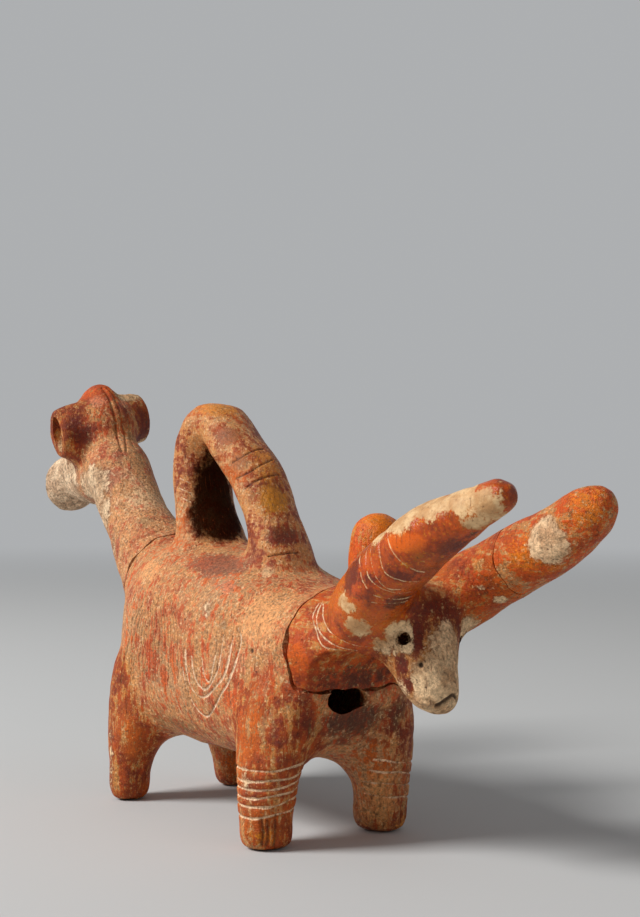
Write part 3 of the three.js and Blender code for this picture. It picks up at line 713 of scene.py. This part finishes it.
corner = (BULL_BREAK_X + BULL_BREAK_CORNER, BULL_BREAK_Z + BULL_BREAK_CORNER)
bend = [turned(corner, degrees, BULL_BREAK_CORNER) for degrees in (195, 225, 255)]
bull_break = [(BULL_BREAK_X, 100), (BULL_BREAK_X, 75), (BULL_BREAK_X, 62)] + bend
bull_break += [(70, BULL_BREAK_Z), (80, BULL_BREAK_Z)]
ram_break = [(-80, 59), (-68, 65.5), (-60, 73), (-55.5, 82), (-51, 92.5), (-44.5, 103)]
horn_break = [turned(HORN_BREAK, 90 + HORN_BREAK_TILT, reach) for reach in (-26, 0, 26)]
ram_bore = [(-44, 67, 6, 6), (-58, 79.5, 6, 6), (-70, 90.5, 6, 6), (-82, 101.5, 6, 6),
            (-91, 110.5, 5, 5)]
bull_hollow = [(38, 56, 17, 14), (54, 60, 15, 11.5), (64, 68.5, 11, 5.5), (72, 71.5, 7, 3.5)]
chest_hole = [(44, 44.6, 13, 6.5), (56, 45, 11, 5.2), (60.5, 45.7, 7.3, 4), (72, 45.9, 7.4, 4.1)]
hole_points, hole_faces = tube(chest_hole, 40, -4.2)
hole_points = hole_points + np.stack([0 * hole_points[:, 0], 0.5 * waves(hole_points, 7, 30),
                                      0.5 * waves(hole_points, 7, 31)], 1)
horn_hollows = [ball((-111.2, -19.3, 131.9), (3.9, 4.8, 7)),
                ball((-110.9, 17.6, 139.4), (3.9, 4.6, 7))]
eyes = [ball((97.2, side * 11, 67.9), (2, 4.6, 2.1)) for side in (-1, 1)]
cracks = [sheet(bull_break, 38, 1.5, 40), sheet(ram_break, 26, 1.3, 50),
          sheet(horn_break, 19.5, 0.5, 60, 20.5)]
hollows = [tube(ram_bore), tube(bull_hollow), (hole_points, hole_faces)]
cuts = oriented(barrel_loft(WALL))
for piece in hollows + cracks + horn_hollows + eyes:
    cuts = combined(cuts, oriented(piece), "UNION")[:2]
points, faces, fields = combined((points, faces), cuts, "DIFFERENCE", fields)

# Fragments, then the pieces of each. What has fewer points is a crumb between two cuts.
LEAST_POINTS = 3000
RAM_UP_TO, BULL_FROM, TIP_FROM = -80, 60, 125
label = connected(len(points), edges_of(faces))
names, counts = np.unique(label, return_counts=True)
whole = [name for name, count in zip(names, counts) if count > LEAST_POINTS]


def fragment_nodes(points):
    """The nodes that a fragment holds, told by where its middle lies along X."""
    x = points[:, 0].mean()
    if x < RAM_UP_TO:
        return RAM
    if x > TIP_FROM:
        return TIP
    return BULL if x > BULL_FROM else BODY


def face_nodes(points, faces, nodes):
    """For each face, which of the nodes its middle is nearest to."""
    skins = [node_skin(name) for name in nodes]
    owner = np.repeat(np.arange(len(nodes)), [len(faces_) for _, faces_ in skins])
    all_points, all_faces = joined(skins)
    tree = BVHTree.FromPolygons(all_points.tolist(), all_faces.tolist())
    middles = points[faces].mean(1)
    return owner[[tree.find_nearest(Vector(middle))[2] for middle in middles]]


def face_pairs(faces):
    """The pairs of faces that share an edge."""
    sides = np.sort(sides_of(faces), axis=1)
    owner = np.tile(np.arange(len(faces)), 3)
    order = np.lexsort((sides[:, 1], sides[:, 0]))
    first, second = order[0::2], order[1::2]
    assert (sides[first] == sides[second]).all(), "an edge hasn't two faces"
    return np.stack([owner[first], owner[second]], 1)


def tidied(points, faces, owner, nodes):
    """Makes each node's faces one patch, without points where a patch touches itself."""
    pairs = face_pairs(faces)
    for _ in range(12):
        changed = 0
        same = pairs[owner[pairs[:, 0]] == owner[pairs[:, 1]]]
        patch = connected(len(faces), same)
        names, counts = np.unique(patch, return_counts=True)
        size = dict(zip(names, counts))
        for node in range(len(nodes)):
            mine = np.unique(patch[owner == node])
            best = max(mine, key=lambda name: size[name])
            stray = (owner == node) & (patch != best)
            while stray.any():
                across = np.concatenate([pairs, pairs[:, ::-1]])
                across = across[stray[across[:, 0]] & ~stray[across[:, 1]]]
                if not len(across):
                    break
                owner[across[:, 0]] = owner[across[:, 1]]
                stray[across[:, 0]] = False
                changed += 1
        sides = sides_of(faces)
        many = np.tile(owner, 3)
        for node in range(len(nodes)):
            mine = sides[many == node]
            keys = mine[:, 0] * len(points) + mine[:, 1]
            back = mine[:, 1] * len(points) + mine[:, 0]
            rim = mine[~np.isin(keys, back)]
            leaving = np.bincount(rim[:, 0], minlength=len(points))
            pinched = np.nonzero(leaving > 1)[0]
            if len(pinched):
                touching = np.isin(faces, pinched).any(1)
                owner[touching] = node
                changed += 1
        if not changed:
            break
    return owner


fragments = []
for name in whole:
    part = kept(points, faces, label == name, fields)
    fragments.append(part + (fragment_nodes(part[0]),))


def corner_normals(points, faces):
    mesh = build_mesh("work", points, faces)
    mesh.shade_smooth()
    mesh.set_sharp_from_angle(angle=math.radians(SHARP_ANGLE))
    normals = np.empty(len(mesh.loops) * 3, np.float32)
    mesh.corner_normals.foreach_get("vector", normals)
    bpy.data.meshes.remove(mesh)
    return normals.reshape(-1, 3, 3)


def patch_piece(points, faces, normals, fields, mine, name):
    """One closed piece: its faces, and a fan that closes each rim inside the clay."""
    used = np.unique(faces[mine])
    index = np.full(len(points), -1)
    index[used] = np.arange(len(used))
    own = index[faces[mine]]
    own_points = points[used]
    sides = sides_of(own)
    keys = sides[:, 0] * len(used) + sides[:, 1]
    back = sides[:, 1] * len(used) + sides[:, 0]
    rim = sides[~np.isin(keys, back)]
    extra, caps = [], []
    if len(rim):
        loop = connected(len(used), rim)
        for start in np.unique(loop[rim[:, 0]]):
            some = rim[loop[rim[:, 0]] == start]
            tip = len(used) + len(extra)
            extra.append(own_points[some[:, 0]].mean(0))
            caps.append(np.stack([some[:, 1], some[:, 0], np.full(len(some), tip)], 1))
    all_points = np.concatenate([own_points] + ([np.array(extra)] if extra else []))
    all_faces = np.concatenate([own] + caps)
    own_fields = {}
    for field, values in fields.items():
        own_fields[field] = np.concatenate([values[used], np.zeros(len(extra))])
    mesh = build_mesh(name, (all_points + [MIDDLE, 0, 0]) * MM, all_faces, own_fields)
    mesh.polygons.foreach_set("use_smooth", np.ones(len(all_faces), bool))
    a, b, c = (all_points[all_faces[len(own):, k]] for k in range(3))
    flat = np.cross(b - a, c - a)
    flat /= np.linalg.norm(flat, axis=1, keepdims=True) + 1e-12
    corners = np.concatenate([normals[mine], np.repeat(flat[:, None], 3, 1)])
    mesh.normals_split_custom_set(corners.reshape(-1, 3).tolist())
    return mesh


def display(red, green, blue):
    """A colour from 0..255 display values, as the shader takes it."""
    shares = [value / 255 for value in (red, green, blue)]
    return tuple(s / 12.92 if s <= 0.04045 else ((s + 0.055) / 1.055) ** 2.4
                 for s in shares) + (1.0,)


class Recipe:
    """Short names for the nodes of one material."""

    def __init__(self, name):
        self.material = bpy.data.materials.new(name)
        self.material.use_nodes = True
        self.tree = self.material.node_tree
        self.shader = self.tree.nodes["Principled BSDF"]
        self.place = self.node("ShaderNodeTexCoord").outputs["Object"]

    def node(self, kind, **settings):
        made = self.tree.nodes.new(kind)
        for key, value in settings.items():
            setattr(made, key, value)
        return made

    def feed(self, socket, value):
        if isinstance(value, bpy.types.NodeSocket):
            self.tree.links.new(value, socket)
        else:
            socket.default_value = value

    def calc(self, operation, a, b):
        made = self.node("ShaderNodeMath", operation=operation)
        self.feed(made.inputs[0], a)
        self.feed(made.inputs[1], b)
        return made.outputs[0]

    def field(self, name):
        return self.node("ShaderNodeAttribute", attribute_name=name).outputs["Fac"]

    def noise(self, size, detail=2, scale=(1, 1, 1), turn=(0, 0, 0), rough=0.5):
        """Noise whose grains are size millimetres wide, stretched by scale."""
        mapping = self.node("ShaderNodeMapping")
        self.feed(mapping.inputs["Vector"], self.place)
        mapping.inputs["Rotation"].default_value = [math.radians(t) for t in turn]
        mapping.inputs["Scale"].default_value = scale
        made = self.node("ShaderNodeTexNoise")
        self.feed(made.inputs["Vector"], mapping.outputs[0])
        made.inputs["Scale"].default_value = 1 / (size * MM)
        made.inputs["Detail"].default_value = detail
        made.inputs["Roughness"].default_value = rough
        return made.outputs["Fac"]

    def total(self, start, *parts):
        """start plus each part, times its amount."""
        for value, amount in parts:
            start = self.calc("ADD", start, self.calc("MULTIPLY", value, amount))
        return start

    def swung(self, start, *noises):
        """start plus each noise's distance from its middle, times its amount."""
        shifted = [(self.calc("SUBTRACT", noise, 0.5), amount) for noise, amount in noises]
        return self.total(start, *shifted)

    def step(self, value, low, high, top=1.0):
        made = self.node("ShaderNodeMapRange", interpolation_type="SMOOTHSTEP")
        self.feed(made.inputs["Value"], value)
        for key, number in (("From Min", low), ("From Max", high), ("To Min", 0), ("To Max", top)):
            made.inputs[key].default_value = number
        return made.outputs["Result"]

    def blend(self, share, a, b):
        made = self.node("ShaderNodeMix", data_type="FLOAT")
        self.feed(made.inputs["Factor"], share)
        self.feed(made.inputs[2], a)
        self.feed(made.inputs[3], b)
        return made.outputs[0]

    def mix(self, share, a, b):
        made = self.node("ShaderNodeMix", data_type="RGBA")
        self.feed(made.inputs["Factor"], share)
        self.feed(made.inputs[6], a)
        self.feed(made.inputs[7], b)
        return made.outputs[2]


COLOURS = {
    "peach": (228, 160, 100), "cream": (224, 180, 130), "ochre": (212, 136, 62),
    "amber": (222, 122, 40), "gold": (188, 122, 34), "pink": (204, 122, 86),
    "mauve": (148, 88, 60), "orange": (214, 94, 28), "rust": (166, 64, 24),
    "deep": (98, 32, 14), "brown": (112, 62, 36), "umber": (78, 38, 18),
    "olive": (152, 116, 68), "highlight_orange": (226, 102, 30),
}
PAINT_FIELDS = ("paint_red", "paint_green", "paint_blue")


def clay(name):
    """Buff clay, worn red slip, soot and painted shade, and a pale crust of lime, laid by the
    skin's fields.
    """
    r = Recipe(name)
    broad = r.noise(24, 2)
    mottle = r.noise(6, 5, rough=0.65)
    grain = r.noise(1.8, 5, rough=0.75)
    grit = r.noise(0.9, 3, rough=0.7)
    flecks = r.noise(1.1, 2, rough=0.7)
    streak_up = r.noise(2, 5, (1, 1, 0.16), (0, -8, 0), 0.7)
    streak_on = r.noise(2, 5, (0.14, 1, 1), (0, 25, 0), 0.7)
    streak = r.blend(r.field("along"), streak_up, streak_on)
    gloss = r.field("gloss")

    # Bare clay, and paint where the share of it is high
    body = r.mix(r.step(mottle, 0.42, 0.62), display(212, 146, 88), display(186, 108, 62))
    body = r.mix(r.step(broad, 0.46, 0.62, 0.6), body, display(204, 150, 102))
    painted = r.swung(r.field("paint_share"), (mottle, 1.3), (grain, 1.1))
    mixed = r.node("ShaderNodeCombineColor")
    for socket, field in zip(mixed.inputs, PAINT_FIELDS):
        r.feed(socket, r.field(field))
    paint = mixed.outputs[0]
    ground = r.mix(r.step(painted, 0.35, 0.65, 0.85), body, paint)
    ground = r.mix(r.step(flecks, 0.54, 0.66, 0.7), ground, display(238, 196, 146))

    # Red slip, which is left on what is raised
    depths = r.swung(r.field("deep"), (mottle, 1.6), (grain, 1.2))
    slip = r.mix(r.step(depths, 0.15, 0.8), display(200, 78, 22), display(106, 34, 11))
    slip = r.mix(r.step(broad, 0.5, 0.66, 0.55), slip, display(220, 108, 34))
    slip = r.mix(r.step(flecks, 0.58, 0.68, 0.35), slip, display(224, 160, 104))
    raised = r.swung(r.field("red"), (streak, 2.0), (mottle, 1.0), (grain, 1.1))
    colour = r.mix(r.step(raised, 0.4, 0.66, 0.92), ground, slip)
    colour = r.mix(r.step(painted, 0.6, 0.95, 0.8), colour, paint)

    # Soot and painted shade, lime, the lines' white filling and painted shade, scratches and
    # specks
    # near-black for soot, and painted shade in the handle's loop, the horns' hollows and the eyes
    soot = r.step(r.swung(r.field("soot"), (mottle, 0.9), (streak, 0.9)), 0.3, 0.75, 0.97)
    colour = r.mix(soot, colour, display(36, 13, 5))
    lime = r.step(r.swung(r.field("lime"), (mottle, 0.9), (grain, 1.3)), 0.36, 0.62, 0.93)
    pale = r.mix(r.step(mottle, 0.42, 0.62), display(198, 160, 122), display(226, 194, 154))
    colour = r.mix(lime, colour, pale)
    inlaid = r.swung(r.field("white"), (mottle, 1.2), (grain, 1.0))
    colour = r.mix(r.step(inlaid, 0.34, 0.7, 0.9), colour, display(230, 198, 162))
    # painted shade along the incised lines and in the pits
    colour = r.mix(r.step(r.field("dark"), 0.15, 0.75, 0.88), colour, display(40, 20, 12))
    scratches = r.step(r.noise(1.1, 3, (1, 1, 0.1), (0, -14, 0), 0.6), 0.6, 0.7, 0.5)
    colour = r.mix(scratches, colour, display(112, 56, 30))
    specks = r.step(r.noise(1.2, 3, rough=0.8), 0.62, 0.7, 0.75)
    colour = r.mix(specks, colour, display(82, 42, 24))

    # Light and dark grains, weaker where the slip is burnished
    matt = r.calc("SUBTRACT", 1, r.calc("MULTIPLY", gloss, 0.75))
    lit = r.swung(0, (grit, 1.8), (grain, 1.7), (streak, 1.1), (mottle, 1.0))
    lit = r.calc("ADD", r.calc("MULTIPLY", lit, matt), 1)
    shading = r.node("ShaderNodeHueSaturation")
    r.feed(shading.inputs["Saturation"], r.total(0.85, (r.field("red"), 0.35)))
    r.feed(shading.inputs["Value"], r.calc("MAXIMUM", lit, 0.3))
    r.feed(shading.inputs["Color"], colour)
    r.feed(r.shader.inputs["Base Color"], shading.outputs[0])
    rough = r.total(r.swung(0.62, (grain, 0.5)), (lime, 0.3), (gloss, -0.32))
    r.feed(r.shader.inputs["Roughness"], rough)
    r.shader.inputs["Specular IOR Level"].default_value = 0.32
    r.feed(r.shader.inputs["Specular IOR Level"], r.total(0.34, (soot, -0.34)))
    height = r.total(0, (grain, 1.3), (grit, 0.7), (streak, 1.0), (lime, 0.5),
                     (scratches, -0.8), (specks, -1.0))
    bump = r.node("ShaderNodeBump")
    r.feed(bump.inputs["Strength"], matt)
    bump.inputs["Distance"].default_value = 0.55 * MM
    r.feed(bump.inputs["Height"], height)
    r.feed(r.shader.inputs["Normal"], bump.outputs[0])
    return r.material


materials = {entry["slot"]: clay(entry["slot"]) for entry in record["materials"]}

# The slip of each node before its blotches: red, deep red, along the limb, gloss.
TONES = {
    "body_barrel": (0.42, 0.3, 0, 0.2), "front_left_leg": (0.5, 0.55, 0, 0.1),
    "front_right_leg": (0.62, 0.5, 0, 0.3), "rear_left_leg": (0.58, 0.5, 0, 0.3),
    "rear_right_leg": (0.66, 0.55, 0, 0.3), "loop_handle": (0.52, 0.55, 0.5, 0.5),
    "ram_neck": (0.36, 0.3, 0.3, 0.1), "ram_head": (0.5, 0.4, 0.3, 0.1),
    "ram_crest": (0.72, 0.25, 0, 0.2), "ram_left_horn": (0.66, 0.6, 0, 0.2),
    "ram_right_horn": (0.68, 0.6, 0, 0.2), "ram_snout": (0.2, 0.3, 0.4, 0),
    "bull_neck": (0.64, 0.4, 1, 0.5), "bull_head": (0.6, 0.8, 0.3, 0.2),
    "bull_poll_knob": (0.66, 0.1, 0, 0.6), "bull_right_horn": (0.9, 0.5, 1, 1),
    "bull_left_horn_base": (0.66, 0.4, 1, 0.3), "bull_left_horn_tip": (0.56, 0.25, 1, 0.3),
}
TONE_FIELDS = ("red", "deep", "along", "gloss")

# Blotches: colour, centre, radii, strength. Those in MIRRORED are laid on the near side and
# then, a little shifted, on the far side, which the photograph doesn't show.
MIDDLE_BLOTCHES = (
    ("lime", 102.5, 0, 55, 10, 12, 10, 1.6),
    ("lime", 103, 1, 67, 5, 6, 8, 1.2),
    ("lime", -130, -2, 112, 20, 15, 13, 1.6),
    ("mauve", -135, -8, 113, 2, 6, 6, 0.75),
    ("ochre", -14, -4, 139, 15, 10, 6, 1),
    ("gold", 18.5, -3, 106.5, 6, 8, 7, 1.2),
    ("deep", 25, -3, 95, 6, 9, 4.5, 1),
    ("ochre", -38, 0, 112, 4, 10, 20, 0.7),
    ("ochre", 8, 0, 116, 14, 11, 15, 0.8),
    # These three darken the inside of the handle's loop and the barrel under its arch: painted
    # shade
    ("soot", -19.5, 0, 107, 7.5, 12, 20, 1.6),
    ("soot", -10, 0, 119, 13, 9, 8, 1.3),
    ("soot", -6, 0, 96, 14, 8, 5, 0.7),
    # painted shade under the bull's chin and on its throat
    ("umber", 71, 0, 52, 14, 34, 8, 1.05),
    # painted shade on the chest below the bull's neck
    ("umber", 60, 0, 38, 9, 15, 9, 1),
    ("brown", 58, 0, 30, 10, 14, 9, 0.7),
    ("brown", 0, 0, 24, 44, 20, 7, 0.7),
    ("deep", 99, -2, 76, 9, 15, 5, 0.85),
    ("cream", -78, 0, 103, 18, 15, 16, 0.75),
    ("amber", 76, 0, 98, 12, 11, 9, 1.2),
)
MIRRORED = (
    ("lime", 97.4, -10.8, 67.9, 5, 5, 5, 1.5),
    ("lime", 90, -21, 71.5, 5, 5, 4, 1.1),
    ("lime", 91.5, -14, 65, 3.5, 3.5, 3.2, 1.1),
    ("lime", -95, -11, 110, 11, 8, 9, 1.4),
    ("lime", -84, -13, 101, 5, 6, 8, 0.9),
    ("lime", -75, -14, 89, 3, 4, 7, 0.6),
    ("lime", 16, -26.4, 71.9, 4, 4, 5, 0.6),
    ("lime", 26.2, -27, 67.2, 4, 4, 3, 0.6),
    ("lime", 46, -30, 22, 3, 3, 8, 0.5),
    ("lime", -46, -29, 16, 3, 4, 14, 0.5),
    ("deep", 99.8, -7.2, 69, 1.8, 1.6, 5.5, 1.4),
    ("deep", 96.8, -10.3, 60.2, 2, 2, 3.4, 1.3),
    ("deep", 97.8, -8.6, 54.6, 1.8, 2, 3, 1.2),
    ("lime", -110.9, -15.5, 128.5, 4, 3, 5, 1.5),
    # painted shade in the top of each ram horn's hollow, and deep in the bull's eye holes
    ("soot", -110.9, -15.5, 137.6, 4, 3, 2.5, 1.6),
    ("soot", 97, -9.6, 67.6, 2, 2.4, 2, 1.7),
    ("orange", -112, -18, 131.5, 3, 1.6, 11, 1),
    ("pink", -103, -6, 145, 5, 4, 5, 1),
    ("deep", -102, -13, 131, 8, 6, 8, 0.9),
    ("rust", -84, -9.5, 113.5, 3.5, 4, 7, 1.2),
    ("rust", -87, -5, 124, 3, 4, 5, 0.9),
    ("rust", -69.4, -14.2, 87.5, 2.5, 3, 6, 1),
    ("orange", -50, -19.4, 77.4, 2.5, 3, 4, 1),
    ("olive", -62, -6, 98, 7, 6, 4, 0.7),
    ("mauve", -3.1, -6.8, 127.8, 5.5, 4.5, 5, 1.3),
    ("mauve", 5.5, -7.5, 119, 4.5, 4, 4.5, 1.2),
    ("mauve", 14, -8, 107, 3, 2, 5, 0.9),
    ("cream", 27.5, -11, 84.5, 3, 3, 4.5, 1.1),
    ("mauve", 6, -16, 85.5, 17, 8, 6, 1.2),
    ("rust", -2, -18, 85, 5, 5, 4, 0.7),
    ("pink", 18.7, -21.3, 79, 8, 5, 4, 0.8),
    ("peach", 42, -20, 70, 13, 12, 12, 1.1),
    ("peach", -30, -22, 82, 12, 8, 7, 0.9),
    ("rust", -17, -29, 50, 14, 6, 12, 0.6),
    ("orange", -8.4, -29, 48, 3.5, 4, 5, 1.1),
    ("orange", -17, -29.2, 56, 2.5, 3, 6, 0.8),
    ("orange", 19, -29, 50, 4, 3, 3, 0.8),
    ("pink", 49.4, -27, 49.3, 6, 6, 6, 0.8),
    ("mauve", 51, -25, 38, 8, 7, 9, 0.75),
    ("brown", 44, -29, 32, 9, 5, 7, 0.5),
    ("pink", 36.8, -27, 57.2, 6, 4, 6, 0.7),
    ("orange", 33, -27.5, 44, 6, 5, 4.5, 0.9),
    ("rust", 58, -22.8, 49.9, 4, 5, 4, 1),
    ("olive", -10, -24, 31, 24, 8, 4, 0.7),
    ("ochre", 50, -26, 5, 8, 8, 4.5, 0.8),
    ("orange", 41, -29, 38, 4, 4, 9, 0.8),
    ("orange", 63, -23, 60, 6, 5, 7, 1.2),
    # painted shade on the chest below the bull's neck, laid on both sides
    ("umber", 58, -17, 38, 6, 6, 9, 0.7),
    # a dark band along the bottom of each foot, where it stands on the floor
    ("soot", 51, -26, 0, 12, 12, 1.6, 0.7),
    ("soot", -45, -24, 0, 12, 12, 1.4, 0.6),
)
ONE_SIDED = (
    ("lime", 91, -25, 79, 6, 5, 4, 1.4),
    ("lime", 104, -24, 98, 7, 6, 4, 1),
    ("lime", 114, -24.5, 102, 8, 6, 4, 1.4),
    ("lime", 125, -23.5, 105.5, 8, 6, 4, 1.4),
    ("lime", 136, -22.5, 108, 8, 6, 4, 1.4),
    ("lime", 145, -20, 106.5, 5, 6, 5, 1.2),
    ("lime", 140, -20.5, 101, 6, 5, 3.5, 0.8),
    ("deep", 94, -26, 86, 9, 5, 8, 1.1),
    # painted highlight: bright orange along the middle of the near horn
    ("highlight_orange", 119, -26.5, 96, 12, 4, 4, 1.2),
    ("olive", 122.5, -24.5, 91.8, 6, 4, 2.4, 0.8),
    ("deep", 132, -21, 95, 10, 5, 3, 1),
    ("deep", 104, -26, 86, 6, 5, 5, 0.9),
    ("deep", 97, -25.5, 81, 7, 5, 4, 0.9),
    ("deep", 113, -23, 87, 8, 6, 4, 1),
    # painted shade on the underside of the near horn towards its tip
    ("umber", 138, -19.5, 98.5, 9, 4, 2.8, 1),
    ("amber", 129, 11, 92, 15, 9, 9, 0.85),
    ("rust", 112, 9, 81, 11, 9, 6, 0.7),
    # painted shade on the head under the near horn's root
    ("umber", 106, -19, 79, 8, 6, 4, 1.2),
    ("lime", 134, 10, 96, 6, 6, 6.5, 1.6),
    ("lime", 108.4, 8.6, 82.8, 5, 3, 2.4, 0.9),
    ("lime", 111.2, 13.7, 78.5, 2.4, 3, 2, 1),
    ("deep", 108, 9, 85, 11, 8, 5, 0.8),
    ("amber", 145, 13, 105, 9, 8, 8, 0.9),
    ("lime", -104, 10, 148, 8, 7, 3, 1.2),
    ("deep", -103, 15, 136, 7, 6, 7, 1),
    ("rust", 55, 24, 17, 4, 4, 13, 0.9),
    # painted light: a paler tone on the far front leg's inner side, which lies in shade
    ("peach", 50, 17, 14, 9, 8, 14, 1),
)

BLOTCHES = list(MIDDLE_BLOTCHES + MIRRORED + ONE_SIDED)
FAR_SIDE_SHIFT = 3
shift = np.random.default_rng(21)
for colour, x, y, z, *rest in MIRRORED:
    dx, dz = shift.uniform(-FAR_SIDE_SHIFT, FAR_SIDE_SHIFT, 2)
    BLOTCHES.append((colour, x + dx, -y, z + dz, *rest))


def blotched(points):
    """Lime, soot with painted shade, and the colour and strength of the other blotches."""
    lime, soot = np.zeros(len(points)), np.zeros(len(points))
    paint, share = np.zeros((len(points), 3)), np.zeros(len(points))
    for colour, *numbers, strength in BLOTCHES:
        amount = strength * soft(points, np.array(numbers[:3]), np.array(numbers[3:]))
        if colour == "lime":
            lime = np.maximum(lime, amount)
        elif colour == "soot":
            soot = np.maximum(soot, amount)
            lime = lime * (1 - 0.95 * np.clip(amount, 0, 1))
        else:
            cover = np.clip(amount / (amount + share + 1e-4), 0, 1)[:, None]
            paint = paint + cover * (np.array(display(*COLOURS[colour])[:3]) - paint)
            share = np.maximum(share, amount)
            lime = lime * (1 - 0.9 * np.clip(amount, 0, 1) * (colour == "deep"))
    return lime, soot, paint, share


for part_points, part_faces, part_fields, nodes in fragments:
    owner = face_nodes(part_points, part_faces, nodes)
    owner = tidied(part_points, part_faces, owner, nodes)
    edges = edges_of(part_faces)
    count = np.bincount(edges.ravel(), minlength=len(part_points))
    faces_at = np.bincount(part_faces.ravel(), minlength=len(part_points))
    for column, field in enumerate(TONE_FIELDS):
        tone = np.array([TONES[node][column] for node in nodes])[owner]
        values = np.bincount(part_faces.ravel(), np.repeat(tone, 3), len(part_points))
        values = values / np.maximum(faces_at, 1)
        for _ in range(TONE_ROUNDS):
            values = neighbour_mean(values, edges, count)
        part_fields[field] = values
    lime, soot, paint, share = blotched(part_points)
    part_fields.update(lime=lime, soot=soot, paint_share=share)
    for axis, field in enumerate(PAINT_FIELDS):
        part_fields[field] = paint[:, axis]
    normals = corner_normals(part_points, part_faces)
    for n, node in enumerate(nodes):
        mesh = patch_piece(part_points, part_faces, normals, part_fields, owner == n, node)
        mesh.materials.append(materials[SLOTS[node]])
        piece = linked("clay_" + node, mesh)
        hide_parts(node)
        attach(piece, "root")


def aimed(thing, place, way):
    """Puts a camera or a lamp at its place, facing that way."""
    thing.location = place
    thing.rotation_mode = "QUATERNION"
    thing.rotation_quaternion = way.to_track_quat("-Z", "Y")


# The photograph's camera
AZIMUTH = math.radians(55)
DISTANCE = 510
ASIDE = 23.8
EYE_LEVEL = 109.8
FOCAL_PIXELS = 1500
HORIZON_ROW = 490
FRAME_HEIGHT = 917
right = Vector((math.cos(AZIMUTH), math.sin(AZIMUTH), 0))
back = Vector((math.sin(AZIMUTH), -math.cos(AZIMUTH), 0))
camera_data = bpy.data.cameras.new("camera")
camera = linked("camera", camera_data)
aimed(camera, (right * ASIDE + back * DISTANCE + Vector((MIDDLE, 0, EYE_LEVEL))) * MM, -back)
camera_data.sensor_width = 36
camera_data.lens = FOCAL_PIXELS * camera_data.sensor_width / FRAME_HEIGHT
camera_data.shift_y = (HORIZON_ROW - FRAME_HEIGHT / 2) / FRAME_HEIGHT
bpy.context.scene.camera = camera

# Floor, world and lamps, in metres. The far floor and the world are seen in one plain tone.
SKY = (0.42, 0.43, 0.44, 1)
FLOOR_HALF = 30
FADE_START, FADE_END = 0.5, 2.6
AIM = Vector((0, 0, 0.07))
floor_mesh = bpy.data.meshes.new("floor")
corners = [(-FLOOR_HALF, -FLOOR_HALF, 0), (FLOOR_HALF, -FLOOR_HALF, 0),
           (FLOOR_HALF, FLOOR_HALF, 0), (-FLOOR_HALF, FLOOR_HALF, 0)]
floor_mesh.from_pydata(corners, [], [(0, 1, 2, 3)])
floor = linked("floor", floor_mesh)


def seen_straight(r):
    """1 on rays from the camera, or by way of a mirror or glass."""
    path = r.node("ShaderNodeLightPath")
    seen = r.calc("MAXIMUM", path.outputs["Is Camera Ray"], path.outputs["Is Glossy Ray"])
    return r.calc("MAXIMUM", seen, path.outputs["Is Transmission Ray"])


floor_look = Recipe("floor")
floor_look.shader.inputs["Base Color"].default_value = (0.56, 0.56, 0.55, 1)
floor_look.shader.inputs["Roughness"].default_value = 0.8
length = floor_look.node("ShaderNodeVectorMath", operation="LENGTH")
floor_look.feed(length.inputs[0], floor_look.place)
far = floor_look.step(length.outputs["Value"], FADE_START, FADE_END)
haze = floor_look.node("ShaderNodeEmission")
haze.inputs["Color"].default_value = SKY
fade = floor_look.node("ShaderNodeMixShader")
floor_look.feed(fade.inputs[0], floor_look.calc("MULTIPLY", far, seen_straight(floor_look)))
floor_look.feed(fade.inputs[1], floor_look.shader.outputs[0])
floor_look.feed(fade.inputs[2], haze.outputs[0])
surface_output = floor_look.tree.nodes["Material Output"]
floor_look.feed(surface_output.inputs["Surface"], fade.outputs[0])
floor_mesh.materials.append(floor_look.material)


class Studio(Recipe):
    """Short names for the nodes of the world."""

    def __init__(self):
        world = bpy.data.worlds.new("studio")
        bpy.context.scene.world = world
        world.use_nodes = True
        self.tree = world.node_tree


studio = Studio()
glow = studio.tree.nodes["Background"]
glow.inputs["Color"].default_value = (0.8, 0.81, 0.83, 1)
glow.inputs["Strength"].default_value = 0.28
backdrop = studio.node("ShaderNodeBackground")
backdrop.inputs["Color"].default_value = SKY
choice = studio.node("ShaderNodeMixShader")
studio.feed(choice.inputs[0], seen_straight(studio))
studio.feed(choice.inputs[1], glow.outputs[0])
studio.feed(choice.inputs[2], backdrop.outputs[0])
studio.feed(studio.tree.nodes["World Output"].inputs["Surface"], choice.outputs[0])


def lamp(name, place, size, power):
    data = bpy.data.lights.new(name, "AREA")
    data.size = size
    data.energy = power
    aimed(linked(name, data), place, AIM - Vector(place))


lamp("key", (-0.54, -1.62, 1.45), 0.75, 54)
lamp("fill", (1.6, 0.6, 0.8), 1, 1.6)
bpy.context.scene.view_settings.view_transform = "Standard"
